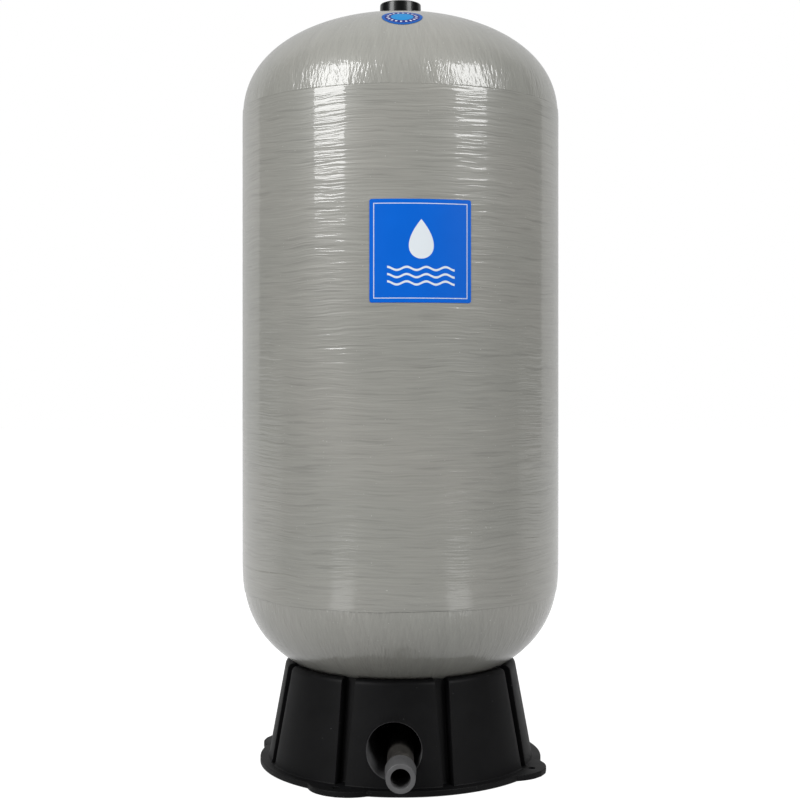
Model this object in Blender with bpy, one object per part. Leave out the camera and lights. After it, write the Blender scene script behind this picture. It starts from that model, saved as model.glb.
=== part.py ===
"""A floor-standing composite pressure tank: wound shell, liner, diaphragm, air valve, outlet elbow and base.

Metres, +Z up. The floor is z = 0 and the outlet faces -Y. The tank's own axis is a little behind the
origin, so that the origin is the middle of the whole object's footprint. Every piece is modelled about
the tank's axis, and azimuths are measured from the front (-Y) towards +X.
"""
import math

import bmesh
import bpy

# Clearances
SEAT_GAP = 0.0003
DISH_GAP = 0.0006

# Wound shell
TANK_RADIUS = 0.267
HOOP_THICKNESS = 0.0008
SHELL_WALL = 0.0055
WALL_LENGTH = 0.740
UPPER_RISE = 0.1793
LOWER_RISE = 0.2045
UPPER_HOOP_OVERRUN = 0.0165
LOWER_HOOP_OVERRUN = 0.0475
UPPER_POWERS = (2.0, 2.41)
LOWER_POWERS = (2.33, 2.44)

# Liner, diaphragm and clench ring
LINER_WALL = 0.004
DIAPHRAGM_WALL = 0.0025
BEAD_WIDTH = 0.0045
BEAD_HEIGHT = 0.012
BEAD_DROP = 0.008
DRAPE_REACH = 0.014
CLENCH_WIDTH = 0.0032
CLENCH_HEIGHT = 0.0165
CLENCH_LIP = 0.003

# Water boss, its seals and nuts
WATER_NECK_RADIUS = 0.034
WATER_FLANGE_RADIUS = 0.070
WATER_FLANGE_THICKNESS = 0.006
GASKET_THICKNESS = 0.0019
WATER_GASKET_SETBACK = 0.020
WATER_NUT_RADIUS = 0.048
WATER_NUT_HEIGHT = 0.012
NUT_SPACE = 0.00141
UNION_RING_SECTION = 0.0018
UNION_NUT_RADIUS = 0.042
UNION_NUT_HEIGHT = 0.020
UNION_LIP = 0.0047
COLLAR_HEIGHT = 0.0077
DIFFUSER_RADIUS = 0.029
DIFFUSER_HEIGHT = 0.019
DIFFUSER_WALL = 0.003
DIFFUSER_SLOT = 0.010

# Outlet elbow and spigot
PIPE_RADIUS = 0.0211
PIPE_BORE = 0.0152
ELBOW_INSERT = 0.033
ELBOW_BEND = 0.026
LEG_RUN = 0.025
OUTLET_HEIGHT = 0.048
HEX_PROUD = 0.0153
HEX_LENGTH = 0.0225
HEX_ACROSS_CORNERS = 0.0488
SOCKET_RADIUS = 0.0172
SOCKET_DEPTH = 0.018
SPIGOT_LENGTH = 0.0467
SPIGOT_REAR_RADIUS = 0.0241
SPIGOT_FRONT_RADIUS = 0.0224
SPIGOT_CHAMFER = 0.0015

# Valve boss, air valve and cover
VALVE_NECK_RADIUS = 0.0217
VALVE_NECK_RISE = 0.01271
VALVE_FLANGE_RADIUS = 0.058
VALVE_FLANGE_THICKNESS = 0.006
VALVE_GASKET_SETBACK = 0.014
VALVE_POCKET_RADIUS = 0.014
VALVE_POCKET_DEPTH = 0.022
VALVE_NUT_RADIUS = 0.0316
VALVE_NUT_HEIGHT = 0.0115
COVER_RADIUS = 0.0350
COVER_WALL = 0.0024
COVER_ROOM = 0.0048
COVER_ROUNDING = 0.0022
COVER_DRAFT = 0.0005
COVER_RING_SECTION = 0.00135
STEM_RADIUS = 0.00385
STEM_LENGTH = 0.0217
SHANK_RADIUS = 0.00485
SHANK_LENGTH = 0.009
VALVE_HEX_HEIGHT = 0.0045
VALVE_HEX_ACROSS_CORNERS = 0.0147
CORE_BORE = 0.0026
CORE_BORE_DEPTH = 0.0212
AIR_BORE = 0.0013
CORE_LENGTH = 0.0104
CORE_WALL = 0.0013
PIN_RADIUS = 0.00065
PIN_LENGTH = 0.0165
POPPET_RADIUS = 0.0020
POPPET_THICKNESS = 0.0012
SPRING_RADIUS = 0.00175
SPRING_WIRE = 0.00025
SPRING_TURNS = 4.5
DUST_CAP_RADIUS = 0.0052
DUST_CAP_HEIGHT = 0.0125
DUST_CAP_TOP = 0.0022
DUST_SEAL_THICKNESS = 0.001

# Base
BASE_TURN = math.radians(-2.75)
BASE_FOOT_RADIUS = 0.2227
BASE_TAPER = 0.183
BASE_WALL = 0.004
FLANGE_REACH = 0.0143
FLANGE_THICKNESS = 0.0092
FLANGE_ROUNDING = 0.0013
FOOT_FILLET = 0.002
TOP_FILLET = 0.009
LEDGE_WIDTH = 0.00617
GROOVE_COUNT = 8
GROOVE_DEPTH = 0.018
GROOVE_TOP_WIDTH = 0.023
GROOVE_FOOT_WIDTH = 0.0175
GROOVE_DRAFT = math.radians(3)
DISH_RADIUS = 0.125
LUG_REACH = 0.0206
LUG_HOLE_RADIUS = 0.00565
LUG_HOLE_SETBACK = 0.0212
RIB_THICKNESS = 0.004
RIB_SETBACK = 0.007
RIB_FOOT = 0.012
TUNNEL_OFFSET = 0.0167
TUNNEL_MOUTH_RADIUS = 0.0432
TUNNEL_NARROWING = 0.0022
TUNNEL_WALL = 0.0035
TUNNEL_OVERRUN = 0.016
ROOF_CLEARANCE = 0.007

# Labels
LABEL_THICKNESS = 0.0004
FRONT_LABEL_WIDTH = 0.1585
FRONT_LABEL_HEIGHT = 0.1575
FRONT_LABEL_CORNER = 0.0035
FRONT_LABEL_RISE = 0.5021
FRONT_LABEL_AZIMUTH = math.radians(6.8)
TOP_LABEL_RADIUS = 0.0325
TOP_LABEL_PLACE = 0.184
TOP_LABEL_AZIMUTH = math.radians(0.8)

# Facets
SHELL_STEPS = 48
LINER_STEPS = 24
FITTING_STEPS = 24
VALVE_STEPS = 12
COVER_STEPS = 32
PIPE_STEPS = 16
OUTER_DOME_STEPS = 6
INNER_DOME_STEPS = 3

# Sizes that follow from the ones above
DOME_RADIUS = TANK_RADIUS - HOOP_THICKNESS
WATER_OPENING = WATER_NECK_RADIUS + SEAT_GAP
VALVE_OPENING = VALVE_NECK_RADIUS + SEAT_GAP
WATER_GASKET_RADIUS = WATER_FLANGE_RADIUS - WATER_GASKET_SETBACK
VALVE_GASKET_RADIUS = VALVE_FLANGE_RADIUS - VALVE_GASKET_SETBACK
DRAPE_RADIUS = WATER_FLANGE_RADIUS + DRAPE_REACH
LINER_INSET = SHELL_WALL + SEAT_GAP
LINER_INNER_INSET = LINER_INSET + LINER_WALL
DIAPHRAGM_INSET = LINER_INNER_INSET + SEAT_GAP
FLANGE_RADIUS = BASE_FOOT_RADIUS + FLANGE_REACH
LUG_RADIUS = FLANGE_RADIUS + LUG_REACH
LUG_HOLE_PLACE = LUG_RADIUS - LUG_HOLE_SETBACK
RIB_END_RADIUS = DISH_RADIUS + RIB_SETBACK
TUNNEL_HEIGHT = OUTLET_HEIGHT + TUNNEL_OFFSET
TUNNEL_END_RADIUS = TUNNEL_MOUTH_RADIUS - TUNNEL_NARROWING
HEX_START = BASE_FOOT_RADIUS + HEX_PROUD
HEX_FRONT = HEX_START + HEX_LENGTH
OUTLET_REACH = HEX_FRONT + SEAT_GAP + SPIGOT_LENGTH
AXIS_PLACE = (OUTLET_REACH - TANK_RADIUS) / 2


def rise_at(rise, powers, radius):
    """How far a dome's outline stands off its tangent line at a radius."""
    return rise * (1 - (radius / DOME_RADIUS) ** powers[0]) ** (1 / powers[1])


# Levels of the outlet, the union and the tank, from the floor up
UNION_FOOT = OUTLET_HEIGHT + ELBOW_BEND + LEG_RUN
UNION_TOP = UNION_FOOT + UNION_NUT_HEIGHT
ROOF_CUT_HEIGHT = UNION_FOOT - ROOF_CLEARANCE
COLLAR_FOOT = UNION_FOOT + UNION_LIP + SEAT_GAP
COLLAR_TOP = COLLAR_FOOT + COLLAR_HEIGHT
WATER_NECK_END = COLLAR_TOP + SEAT_GAP
ELBOW_TOP = WATER_NECK_END + ELBOW_INSERT
LOWER_POLE = UNION_TOP + NUT_SPACE + WATER_NUT_HEIGHT + SEAT_GAP
LOWER_TANGENT = LOWER_POLE + rise_at(LOWER_RISE, LOWER_POWERS, WATER_OPENING)
UPPER_TANGENT = LOWER_TANGENT + WALL_LENGTH
UPPER_POLE = UPPER_TANGENT + rise_at(UPPER_RISE, UPPER_POWERS, VALVE_OPENING)
UPPER_HOOP_END = UPPER_TANGENT + UPPER_HOOP_OVERRUN
LOWER_HOOP_END = LOWER_TANGENT - LOWER_HOOP_OVERRUN
SEAM_HEIGHT = (UPPER_TANGENT + LOWER_TANGENT) / 2
UPPER_DOME = (UPPER_TANGENT, 1, UPPER_RISE, *UPPER_POWERS)
LOWER_DOME = (LOWER_TANGENT, -1, LOWER_RISE, *LOWER_POWERS)
FRONT_LABEL_MIDDLE = LOWER_TANGENT + FRONT_LABEL_RISE

# Levels of the air side
VALVE_NECK_TOP = UPPER_POLE + VALVE_NECK_RISE
VALVE_POCKET_FLOOR = VALVE_NECK_TOP - VALVE_POCKET_DEPTH
STEM_TOP = VALVE_POCKET_FLOOR + SEAT_GAP + STEM_LENGTH
SPRING_LEDGE = STEM_TOP - CORE_BORE_DEPTH
DUST_CAP_CEILING = STEM_TOP + DUST_SEAL_THICKNESS + 2 * SEAT_GAP
DUST_CAP_LEVEL = DUST_CAP_CEILING + DUST_CAP_TOP
COVER_TOP = DUST_CAP_LEVEL + COVER_ROOM + COVER_WALL

# Colours, read as 0 to 255 values
RESIN = (157, 157, 148)
LINER_WHITE = (214, 214, 206)
RUBBER = (26, 26, 27)
BLACK_PLASTIC = (33, 33, 34)
GLOSS_BLACK = (18, 18, 19)
DARK_PIPE = (52, 52, 53)
GREY_PIPE = (150, 151, 152)
BRASS = (196, 160, 88)
STEEL = (170, 170, 172)
LABEL_BLUE = (10, 100, 218)
TOP_LABEL_BLUE = (36, 120, 226)


def remove_startup_objects():
    for obj in list(bpy.data.objects):
        bpy.data.objects.remove(obj, do_unlink=True)


def linear(value):
    """A 0 to 255 colour value as the linear number that a shader takes."""
    part = value / 255
    return part / 12.92 if part <= 0.04045 else ((part + 0.055) / 1.055) ** 2.4


def set_finish(obj, colour, roughness, metallic=0.0):
    material = bpy.data.materials.new(obj.name + "_finish")
    material.use_nodes = True
    shader = material.node_tree.nodes["Principled BSDF"]
    shader.inputs["Base Color"].default_value = (*[linear(value) for value in colour], 1)
    shader.inputs["Roughness"].default_value = roughness
    shader.inputs["Metallic"].default_value = metallic
    material.diffuse_color = shader.inputs["Base Color"].default_value
    obj.data.materials.append(material)


def add_object(name, bm, parent):
    """Turns a bmesh into an object whose faces point out and whose round sides are smooth."""
    bmesh.ops.recalc_face_normals(bm, faces=bm.faces)
    mesh = bpy.data.meshes.new(name)
    bm.to_mesh(mesh)
    bm.free()
    mesh.shade_smooth()
    mesh.set_sharp_from_angle(angle=math.radians(32))
    obj = bpy.data.objects.new(name, mesh)
    obj.parent = parent
    bpy.context.collection.objects.link(obj)
    return obj


def add_empty(name, parent=None, location=(0, 0, 0), turn=0):
    empty = bpy.data.objects.new(name, None)
    empty.parent = parent
    empty.location = location
    empty.rotation_euler = (0, 0, turn)
    bpy.context.collection.objects.link(empty)
    return empty


def combine(target, tool, operation):
    """Adds or cuts one object with another, which then only guides the shape."""
    modifier = target.modifiers.new(tool.name, 'BOOLEAN')
    modifier.operation = operation
    modifier.solver = 'EXACT'
    modifier.object = tool
    tool.hide_render = True
    tool.display_type = 'WIRE'


def turned(name, profile, parent, steps=FITTING_STEPS):
    """A body turned about Z from (radius, height) points, closed on itself or on the axis."""
    bm = bmesh.new()
    verts = [bm.verts.new((radius, 0, height)) for radius, height in profile]
    edges = [bm.edges.new(pair) for pair in zip(verts, verts[1:])]
    if profile[0][0] > 0 or profile[-1][0] > 0:
        edges.append(bm.edges.new((verts[-1], verts[0])))
    bmesh.ops.spin(bm, geom=verts + edges, axis=(0, 0, 1), cent=(0, 0, 0), angle=math.tau, steps=steps)
    bmesh.ops.remove_doubles(bm, verts=bm.verts, dist=1e-6)
    return add_object(name, bm, parent)


def prism(name, corner_radius, sides, low, high, parent):
    """A straight prism on Z with a corner on +X."""
    bm = bmesh.new()
    corners = [math.tau * step / sides for step in range(sides)]
    floor = [bm.verts.new((corner_radius * math.cos(a), corner_radius * math.sin(a), low)) for a in corners]
    face = bm.faces.new(floor)
    top = bmesh.ops.extrude_face_region(bm, geom=[face])["geom"]
    bmesh.ops.translate(bm, vec=(0, 0, high - low), verts=[v for v in top if isinstance(v, bmesh.types.BMVert)])
    return add_object(name, bm, parent)


def ring_section(middle_radius, middle_height, section):
    """The six-sided section of an O-ring, as points for turned()."""
    angles = [math.radians(60 * side) for side in range(6)]
    return [(middle_radius + section * math.cos(a), middle_height + section * math.sin(a)) for a in angles]


def on_azimuth(radius, azimuth, height):
    return (radius * math.sin(azimuth), -radius * math.cos(azimuth), height)


# Dome outline: (r / radius) ^ a + (h / rise) ^ b = 1, with h counted from the tangent line


def dome_angle(dome, radius):
    """The outline's angle where it has a given radius: 0 at the tangent line, 90 degrees at the pole."""
    return math.acos((radius / DOME_RADIUS) ** (dome[3] / 2))


def dome_point(dome, angle, inset=0.0):
    """A point of the dome's outline as (radius, height), moved in by the inset along the outline's normal."""
    tangent, side, rise, radius_power, height_power = dome
    radius = DOME_RADIUS * math.cos(angle) ** (2 / radius_power)
    height = rise * math.sin(angle) ** (2 / height_power)
    slope_r = radius_power / DOME_RADIUS * (radius / DOME_RADIUS) ** (radius_power - 1)
    slope_h = height_power / rise * (height / rise) ** (height_power - 1)
    length = math.hypot(slope_r, slope_h)
    radius -= inset * slope_r / length
    height -= inset * slope_h / length
    return (radius, tangent + side * height)


def dome_height(dome, radius, inset=0.0):
    """The height of the dome's inset surface above a radius near the pole."""
    return dome_point(dome, dome_angle(dome, radius), inset)[1]


def inner_points(dome, opening, inset):
    """Points of an inner surface: the tangent line to the boss flange's radius, then the polar opening.

    Every inner surface takes the same stations, so that the facets of nested pieces lie parallel.
    """
    flange = WATER_FLANGE_RADIUS if dome is LOWER_DOME else VALVE_FLANGE_RADIUS
    last = dome_angle(dome, flange)
    points = [dome_point(dome, last * step / INNER_DOME_STEPS, inset) for step in range(INNER_DOME_STEPS + 1)]
    return points + [(opening, dome_height(dome, opening, inset))]


def height_on(points, radius):
    """The height of a run of points at a radius."""
    for (r1, z1), (r2, z2) in zip(points, points[1:]):
        if min(r1, r2) <= radius <= max(r1, r2):
            return z1 + (z2 - z1) * (radius - r1) / (r2 - r1)
    raise ValueError("radius is off the surface")


def dome_line_angle(dome, height):
    """The outline's angle at a height above the floor."""
    return math.asin((abs(height - dome[0]) / dome[2]) ** (dome[4] / 2))


def hoop_shoulder(dome, hoop_end):
    """The end of the hoop winding: the tangent line, the last hoop, and the step down to the dome."""
    last = dome_line_angle(dome, hoop_end)
    return [(TANK_RADIUS, dome[0]), dome_point(dome, last, -HOOP_THICKNESS), dome_point(dome, last)]


def outer_half(dome, hoop_end, opening):
    first = dome_line_angle(dome, hoop_end)
    last = dome_angle(dome, opening)
    span = last - first
    points = [dome_point(dome, first + span * step / OUTER_DOME_STEPS) for step in range(1, OUTER_DOME_STEPS)]
    return hoop_shoulder(dome, hoop_end) + points + [(opening, dome_height(dome, opening))]


def make_shell(parent):
    outside = list(reversed(outer_half(UPPER_DOME, UPPER_HOOP_END, VALVE_OPENING)))
    outside += outer_half(LOWER_DOME, LOWER_HOOP_END, WATER_OPENING)
    inside = list(reversed(inner_points(LOWER_DOME, WATER_OPENING, SHELL_WALL)))
    inside += inner_points(UPPER_DOME, VALVE_OPENING, SHELL_WALL)
    shell = turned("composite_shell", outside + inside, parent, SHELL_STEPS)
    set_finish(shell, RESIN, 0.32)


def make_liner(name, dome, opening, seam, parent):
    """One half of the plastic liner, from its polar opening to the seam at mid height."""
    outside = inner_points(dome, opening, LINER_INSET)
    inside = inner_points(dome, opening, LINER_INNER_INSET)
    rim = [(DOME_RADIUS - LINER_INNER_INSET, seam), (DOME_RADIUS - LINER_INSET, seam)]
    liner = turned(name, rim + outside + list(reversed(inside)), parent, LINER_STEPS)
    set_finish(liner, LINER_WHITE, 0.5)


def draped_wall(inset):
    """The part of the cup that lies on the lower liner, down to where it leaves it for the boss."""
    liner = inner_points(LOWER_DOME, WATER_OPENING, inset)
    return liner[:INNER_DOME_STEPS] + [(DRAPE_RADIUS, height_on(liner, DRAPE_RADIUS))]


def make_diaphragm(parent):
    """The rubber cup as it lies on the lower liner before water comes in, draped over the diffuser."""
    bead_top = SEAM_HEIGHT - BEAD_DROP
    bead_foot = bead_top - BEAD_HEIGHT
    outer = DOME_RADIUS - DIAPHRAGM_INSET
    wall = draped_wall(DIAPHRAGM_INSET)
    top = water_flange_top() + DIFFUSER_HEIGHT + 2 * SEAT_GAP
    hump = [(WATER_FLANGE_RADIUS * 0.88, water_flange_top() + 2 * DIAPHRAGM_WALL),
            (DIFFUSER_RADIUS * 1.2, top), (0, top + DIAPHRAGM_WALL)]
    inner_hump = [(radius, height + DIAPHRAGM_WALL) for radius, height in hump]
    profile = list(reversed(inner_hump)) + list(reversed(draped_wall(DIAPHRAGM_INSET + DIAPHRAGM_WALL)))
    profile += [(outer - DIAPHRAGM_WALL, bead_foot), (outer - BEAD_WIDTH, bead_foot)]
    profile += [(outer - BEAD_WIDTH, bead_top), (outer, bead_top)]
    profile += wall + hump
    diaphragm = turned("diaphragm", profile, parent, LINER_STEPS)
    set_finish(diaphragm, RUBBER, 0.6)


def make_clench_ring(parent):
    """An L-shaped ring: its lip lies on the bead and its leg holds the bead against the liner."""
    bead_top = SEAM_HEIGHT - BEAD_DROP
    outer = DOME_RADIUS - DIAPHRAGM_INSET
    leg_outer = outer - BEAD_WIDTH - SEAT_GAP
    leg_inner = leg_outer - CLENCH_WIDTH
    lip_foot = bead_top + SEAT_GAP
    lip_top = lip_foot + CLENCH_LIP
    profile = [(leg_inner, lip_top), (outer, lip_top), (outer, lip_foot), (leg_outer, lip_foot),
               (leg_outer, lip_top - CLENCH_HEIGHT), (leg_inner, lip_top - CLENCH_HEIGHT)]
    ring = turned("clench_ring", profile, parent, LINER_STEPS)
    set_finish(ring, LINER_WHITE, 0.5)


# Water side


def water_flange_foot():
    """The flange lies over its gasket and clears the liner at its own rim."""
    liner = inner_points(LOWER_DOME, WATER_OPENING, LINER_INNER_INSET)
    over_gasket = height_on(liner, WATER_GASKET_RADIUS) + GASKET_THICKNESS + 2 * SEAT_GAP
    return max(over_gasket, height_on(liner, WATER_FLANGE_RADIUS - 0.0005) + SEAT_GAP)


def water_flange_top():
    return water_flange_foot() + WATER_FLANGE_THICKNESS


def make_water_boss(parent):
    leg_bore = PIPE_RADIUS + SEAT_GAP
    ring_seat = leg_bore + 2 * UNION_RING_SECTION + SEAT_GAP
    seat_top = WATER_NECK_END + 2 * UNION_RING_SECTION + 3 * SEAT_GAP
    profile = [(leg_bore, seat_top), (ring_seat, seat_top), (ring_seat, WATER_NECK_END),
               (WATER_NECK_RADIUS, WATER_NECK_END), (WATER_NECK_RADIUS, water_flange_foot()),
               (WATER_FLANGE_RADIUS, water_flange_foot()), (WATER_FLANGE_RADIUS, water_flange_top()),
               (leg_bore, water_flange_top())]
    boss = turned("water_boss", profile, parent)
    set_finish(boss, BLACK_PLASTIC, 0.45)


def make_gasket(name, inner, outer, low, parent):
    high = low + GASKET_THICKNESS
    gasket = turned(name, [(inner, low), (outer, low), (outer, high), (inner, high)], parent)
    set_finish(gasket, RUBBER, 0.7)


def make_water_nut(parent):
    top = LOWER_POLE - SEAT_GAP
    foot = top - WATER_NUT_HEIGHT
    nut = prism("water_boss_nut", WATER_NUT_RADIUS, 8, foot, top, parent)
    bore = prism("water_boss_nut_bore", WATER_OPENING, FITTING_STEPS, foot - 0.01, top + 0.01, parent)
    combine(nut, bore, 'DIFFERENCE')
    set_finish(nut, BLACK_PLASTIC, 0.45)


def make_union(parent):
    """The nut that draws the elbow's collar to the boss, and the O-ring that they squeeze."""
    lip_top = UNION_FOOT + UNION_LIP
    nut = prism("union_nut", UNION_NUT_RADIUS, 8, UNION_FOOT, UNION_TOP, parent)
    cut = [(0, UNION_FOOT - 0.01), (PIPE_RADIUS + SEAT_GAP, UNION_FOOT - 0.01), (PIPE_RADIUS + SEAT_GAP, lip_top),
           (WATER_OPENING, lip_top), (WATER_OPENING, UNION_TOP + 0.01), (0, UNION_TOP + 0.01)]
    bore = turned("union_nut_bore", cut, parent)
    combine(nut, bore, 'DIFFERENCE')
    set_finish(nut, BLACK_PLASTIC, 0.45)
    ring_middle = PIPE_RADIUS + SEAT_GAP + UNION_RING_SECTION
    ring_height = WATER_NECK_END + SEAT_GAP + UNION_RING_SECTION
    ring = turned("union_o_ring", ring_section(ring_middle, ring_height, UNION_RING_SECTION), parent)
    set_finish(ring, RUBBER, 0.6)


def make_diffuser(parent):
    """A slotted cap on the boss, which spreads the water and keeps the diaphragm off the bore."""
    foot = water_flange_top() + SEAT_GAP
    top = foot + DIFFUSER_HEIGHT
    inner = DIFFUSER_RADIUS - DIFFUSER_WALL
    profile = [(0, top - DIFFUSER_WALL), (inner, top - DIFFUSER_WALL), (inner, foot),
               (DIFFUSER_RADIUS, foot), (DIFFUSER_RADIUS, top), (0, top)]
    diffuser = turned("diffuser", profile, parent)
    for number in range(3):
        slot = add_box(f"diffuser_slot_{number}", (2.4 * DIFFUSER_RADIUS, DIFFUSER_SLOT),
                       (foot + DIFFUSER_WALL, top - 2 * DIFFUSER_WALL), number * math.tau / 6, parent)
        combine(diffuser, slot, 'DIFFERENCE')
    set_finish(diffuser, BLACK_PLASTIC, 0.45)


def add_box(name, size, heights, turn, parent):
    """A box on the axis, of a width and a depth, between two heights, turned about Z."""
    bm = bmesh.new()
    bmesh.ops.create_cube(bm, size=1)
    bmesh.ops.scale(bm, vec=(size[0], size[1], heights[1] - heights[0]), verts=bm.verts)
    bmesh.ops.translate(bm, vec=(0, 0, sum(heights) / 2), verts=bm.verts)
    box = add_object(name, bm, parent)
    box.rotation_euler = (0, 0, turn)
    return box


# Outlet


def bend_stations(start, end, radius, steps=4):
    """Stations (y, z, angle, radius) down the vertical leg, round the bend and out along -Y."""
    centre_y = -ELBOW_BEND
    centre_z = OUTLET_HEIGHT + ELBOW_BEND
    stations = [(0, start, 0, radius)]
    for step in range(steps + 1):
        angle = math.pi / 2 * step / steps
        stations.append((centre_y + ELBOW_BEND * math.cos(angle), centre_z - ELBOW_BEND * math.sin(angle),
                         angle, radius))
    stations.append((-end, OUTLET_HEIGHT, math.pi / 2, radius))
    return stations


def swept(name, stations, parent):
    """A round bar through stations in the plane x = 0, each square to the route."""
    sides = PIPE_STEPS
    bm = bmesh.new()
    rings = []
    for y, z, angle, radius in stations:
        ring = []
        for side in range(sides):
            around = math.tau * side / sides
            out = radius * math.sin(around)
            ring.append(bm.verts.new((radius * math.cos(around), y + out * math.cos(angle),
                                      z - out * math.sin(angle))))
        rings.append(ring)
    for ring, after in zip(rings, rings[1:]):
        for side in range(sides):
            far = (side + 1) % sides
            bm.faces.new((ring[side], ring[far], after[far], after[side]))
    bm.faces.new(rings[0])
    bm.faces.new(rings[-1])
    return add_object(name, bm, parent)


def make_elbow(parent):
    collar_radius = WATER_OPENING - 2 * SEAT_GAP
    outside = bend_stations(ELBOW_TOP, HEX_START + HEX_LENGTH / 2, PIPE_RADIUS)
    collar = [(0, COLLAR_TOP, 0, PIPE_RADIUS), (0, COLLAR_TOP, 0, collar_radius),
              (0, COLLAR_FOOT, 0, collar_radius), (0, COLLAR_FOOT, 0, PIPE_RADIUS)]
    elbow = swept("outlet_elbow", outside[:1] + collar + outside[1:], parent)
    hexagon = prism("outlet_hexagon", HEX_ACROSS_CORNERS / 2, 6, HEX_START, HEX_FRONT, parent)
    bore = swept("outlet_bore", bend_stations(ELBOW_TOP + 0.01, HEX_FRONT + 0.01, PIPE_BORE), parent)
    socket = prism("outlet_socket", SOCKET_RADIUS, FITTING_STEPS, HEX_FRONT - SOCKET_DEPTH,
                   HEX_FRONT + 0.02, parent)
    for piece in (hexagon, socket):
        lay_forward(piece)
    combine(elbow, hexagon, 'UNION')
    combine(elbow, bore, 'DIFFERENCE')
    combine(elbow, socket, 'DIFFERENCE')
    set_finish(elbow, DARK_PIPE, 0.42)


def lay_forward(piece):
    """Turns a piece made along +Z so that it runs along -Y at the outlet's height."""
    piece.location = (0, 0, OUTLET_HEIGHT)
    piece.rotation_euler = (math.pi / 2, 0, 0)


def make_spigot(parent):
    rear = HEX_FRONT + SEAT_GAP
    front = rear + SPIGOT_LENGTH
    neck_radius = SOCKET_RADIUS - SEAT_GAP
    neck_end = HEX_FRONT - SOCKET_DEPTH + SEAT_GAP
    profile = [(PIPE_BORE, neck_end), (neck_radius, neck_end), (neck_radius, rear),
               (SPIGOT_REAR_RADIUS, rear), (SPIGOT_FRONT_RADIUS + SPIGOT_CHAMFER * 0.3, front - SPIGOT_CHAMFER),
               (SPIGOT_FRONT_RADIUS - SPIGOT_CHAMFER * 0.7, front), (PIPE_BORE, front)]
    spigot = turned("outlet_spigot", profile, parent)
    lay_forward(spigot)
    set_finish(spigot, GREY_PIPE, 0.4)


# Air side


def valve_flange_top():
    """The flange hangs under its gasket and clears the liner at its own rim."""
    liner = inner_points(UPPER_DOME, VALVE_OPENING, LINER_INNER_INSET)
    under_gasket = height_on(liner, VALVE_GASKET_RADIUS) - GASKET_THICKNESS - 2 * SEAT_GAP
    return min(under_gasket, height_on(liner, VALVE_FLANGE_RADIUS - 0.0005) - SEAT_GAP)


def make_valve_boss(parent):
    top = valve_flange_top()
    foot = top - VALVE_FLANGE_THICKNESS
    bore = SHANK_RADIUS + SEAT_GAP
    profile = [(bore, foot), (VALVE_FLANGE_RADIUS, foot), (VALVE_FLANGE_RADIUS, top),
               (VALVE_NECK_RADIUS, top), (VALVE_NECK_RADIUS, VALVE_NECK_TOP),
               (VALVE_POCKET_RADIUS, VALVE_NECK_TOP), (VALVE_POCKET_RADIUS, VALVE_POCKET_FLOOR),
               (bore, VALVE_POCKET_FLOOR)]
    boss = turned("valve_boss", profile, parent)
    set_finish(boss, BLACK_PLASTIC, 0.45)


def valve_nut_foot():
    return UPPER_POLE + SEAT_GAP


def make_valve_nut(parent):
    """A round nut whose groove holds the cover's O-ring."""
    foot = valve_nut_foot()
    top = foot + VALVE_NUT_HEIGHT
    middle = (foot + top) / 2
    groove_half = COVER_RING_SECTION + SEAT_GAP
    ring_middle = cover_ring_middle()
    groove_radius = ring_middle - COVER_RING_SECTION - SEAT_GAP
    profile = [(VALVE_OPENING, foot), (VALVE_NUT_RADIUS, foot), (VALVE_NUT_RADIUS, middle - groove_half),
               (groove_radius, middle - groove_half), (groove_radius, middle + groove_half),
               (VALVE_NUT_RADIUS, middle + groove_half), (VALVE_NUT_RADIUS, top), (VALVE_OPENING, top)]
    nut = turned("valve_boss_nut", profile, parent)
    set_finish(nut, BLACK_PLASTIC, 0.4)
    ring = turned("cover_o_ring", ring_section(ring_middle, middle, COVER_RING_SECTION), parent)
    set_finish(ring, RUBBER, 0.6)


def cover_bore():
    return COVER_RADIUS - COVER_WALL


def cover_ring_middle():
    """The O-ring stands against the cover's bore."""
    return cover_bore() - SEAT_GAP - COVER_RING_SECTION


def make_cover(parent):
    foot = dome_height(UPPER_DOME, cover_bore()) + SEAT_GAP
    bore = cover_bore() / math.cos(math.pi / COVER_STEPS)
    top_radius = COVER_RADIUS - COVER_DRAFT
    rounding = []
    for step in range(3):
        angle = math.pi / 2 * step / 2
        rounding.append((top_radius - COVER_ROUNDING * (1 - math.cos(angle)),
                         COVER_TOP - COVER_ROUNDING * (1 - math.sin(angle))))
    profile = [(0, COVER_TOP - COVER_WALL), (bore, COVER_TOP - COVER_WALL), (bore, foot),
               (COVER_RADIUS, foot)] + rounding + [(0, COVER_TOP)]
    cover = turned("air_valve_cover", profile, parent, COVER_STEPS)
    set_finish(cover, GLOSS_BLACK, 0.12)


def make_air_valve(parent):
    """Brass body with a hexagon, a threaded shank below and a stem above."""
    seat = VALVE_POCKET_FLOOR + SEAT_GAP
    shank_foot = seat - SHANK_LENGTH
    profile = [(0, shank_foot), (SHANK_RADIUS, shank_foot), (SHANK_RADIUS, seat),
               (STEM_RADIUS + 0.0004, seat + VALVE_HEX_HEIGHT / 2), (STEM_RADIUS, seat + VALVE_HEX_HEIGHT / 2),
               (STEM_RADIUS, STEM_TOP), (0, STEM_TOP)]
    body = turned("air_valve_body", profile, parent, VALVE_STEPS)
    hexagon = prism("air_valve_hexagon", VALVE_HEX_ACROSS_CORNERS / 2, 6, seat, seat + VALVE_HEX_HEIGHT, parent)
    cut = [(0, shank_foot - 0.001), (AIR_BORE, shank_foot - 0.001), (AIR_BORE, SPRING_LEDGE),
           (CORE_BORE, SPRING_LEDGE), (CORE_BORE, STEM_TOP + 0.001), (0, STEM_TOP + 0.001)]
    bore = turned("air_valve_bore", cut, parent, VALVE_STEPS)
    combine(body, hexagon, 'UNION')
    combine(body, bore, 'DIFFERENCE')
    set_finish(body, BRASS, 0.3, 1.0)


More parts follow.
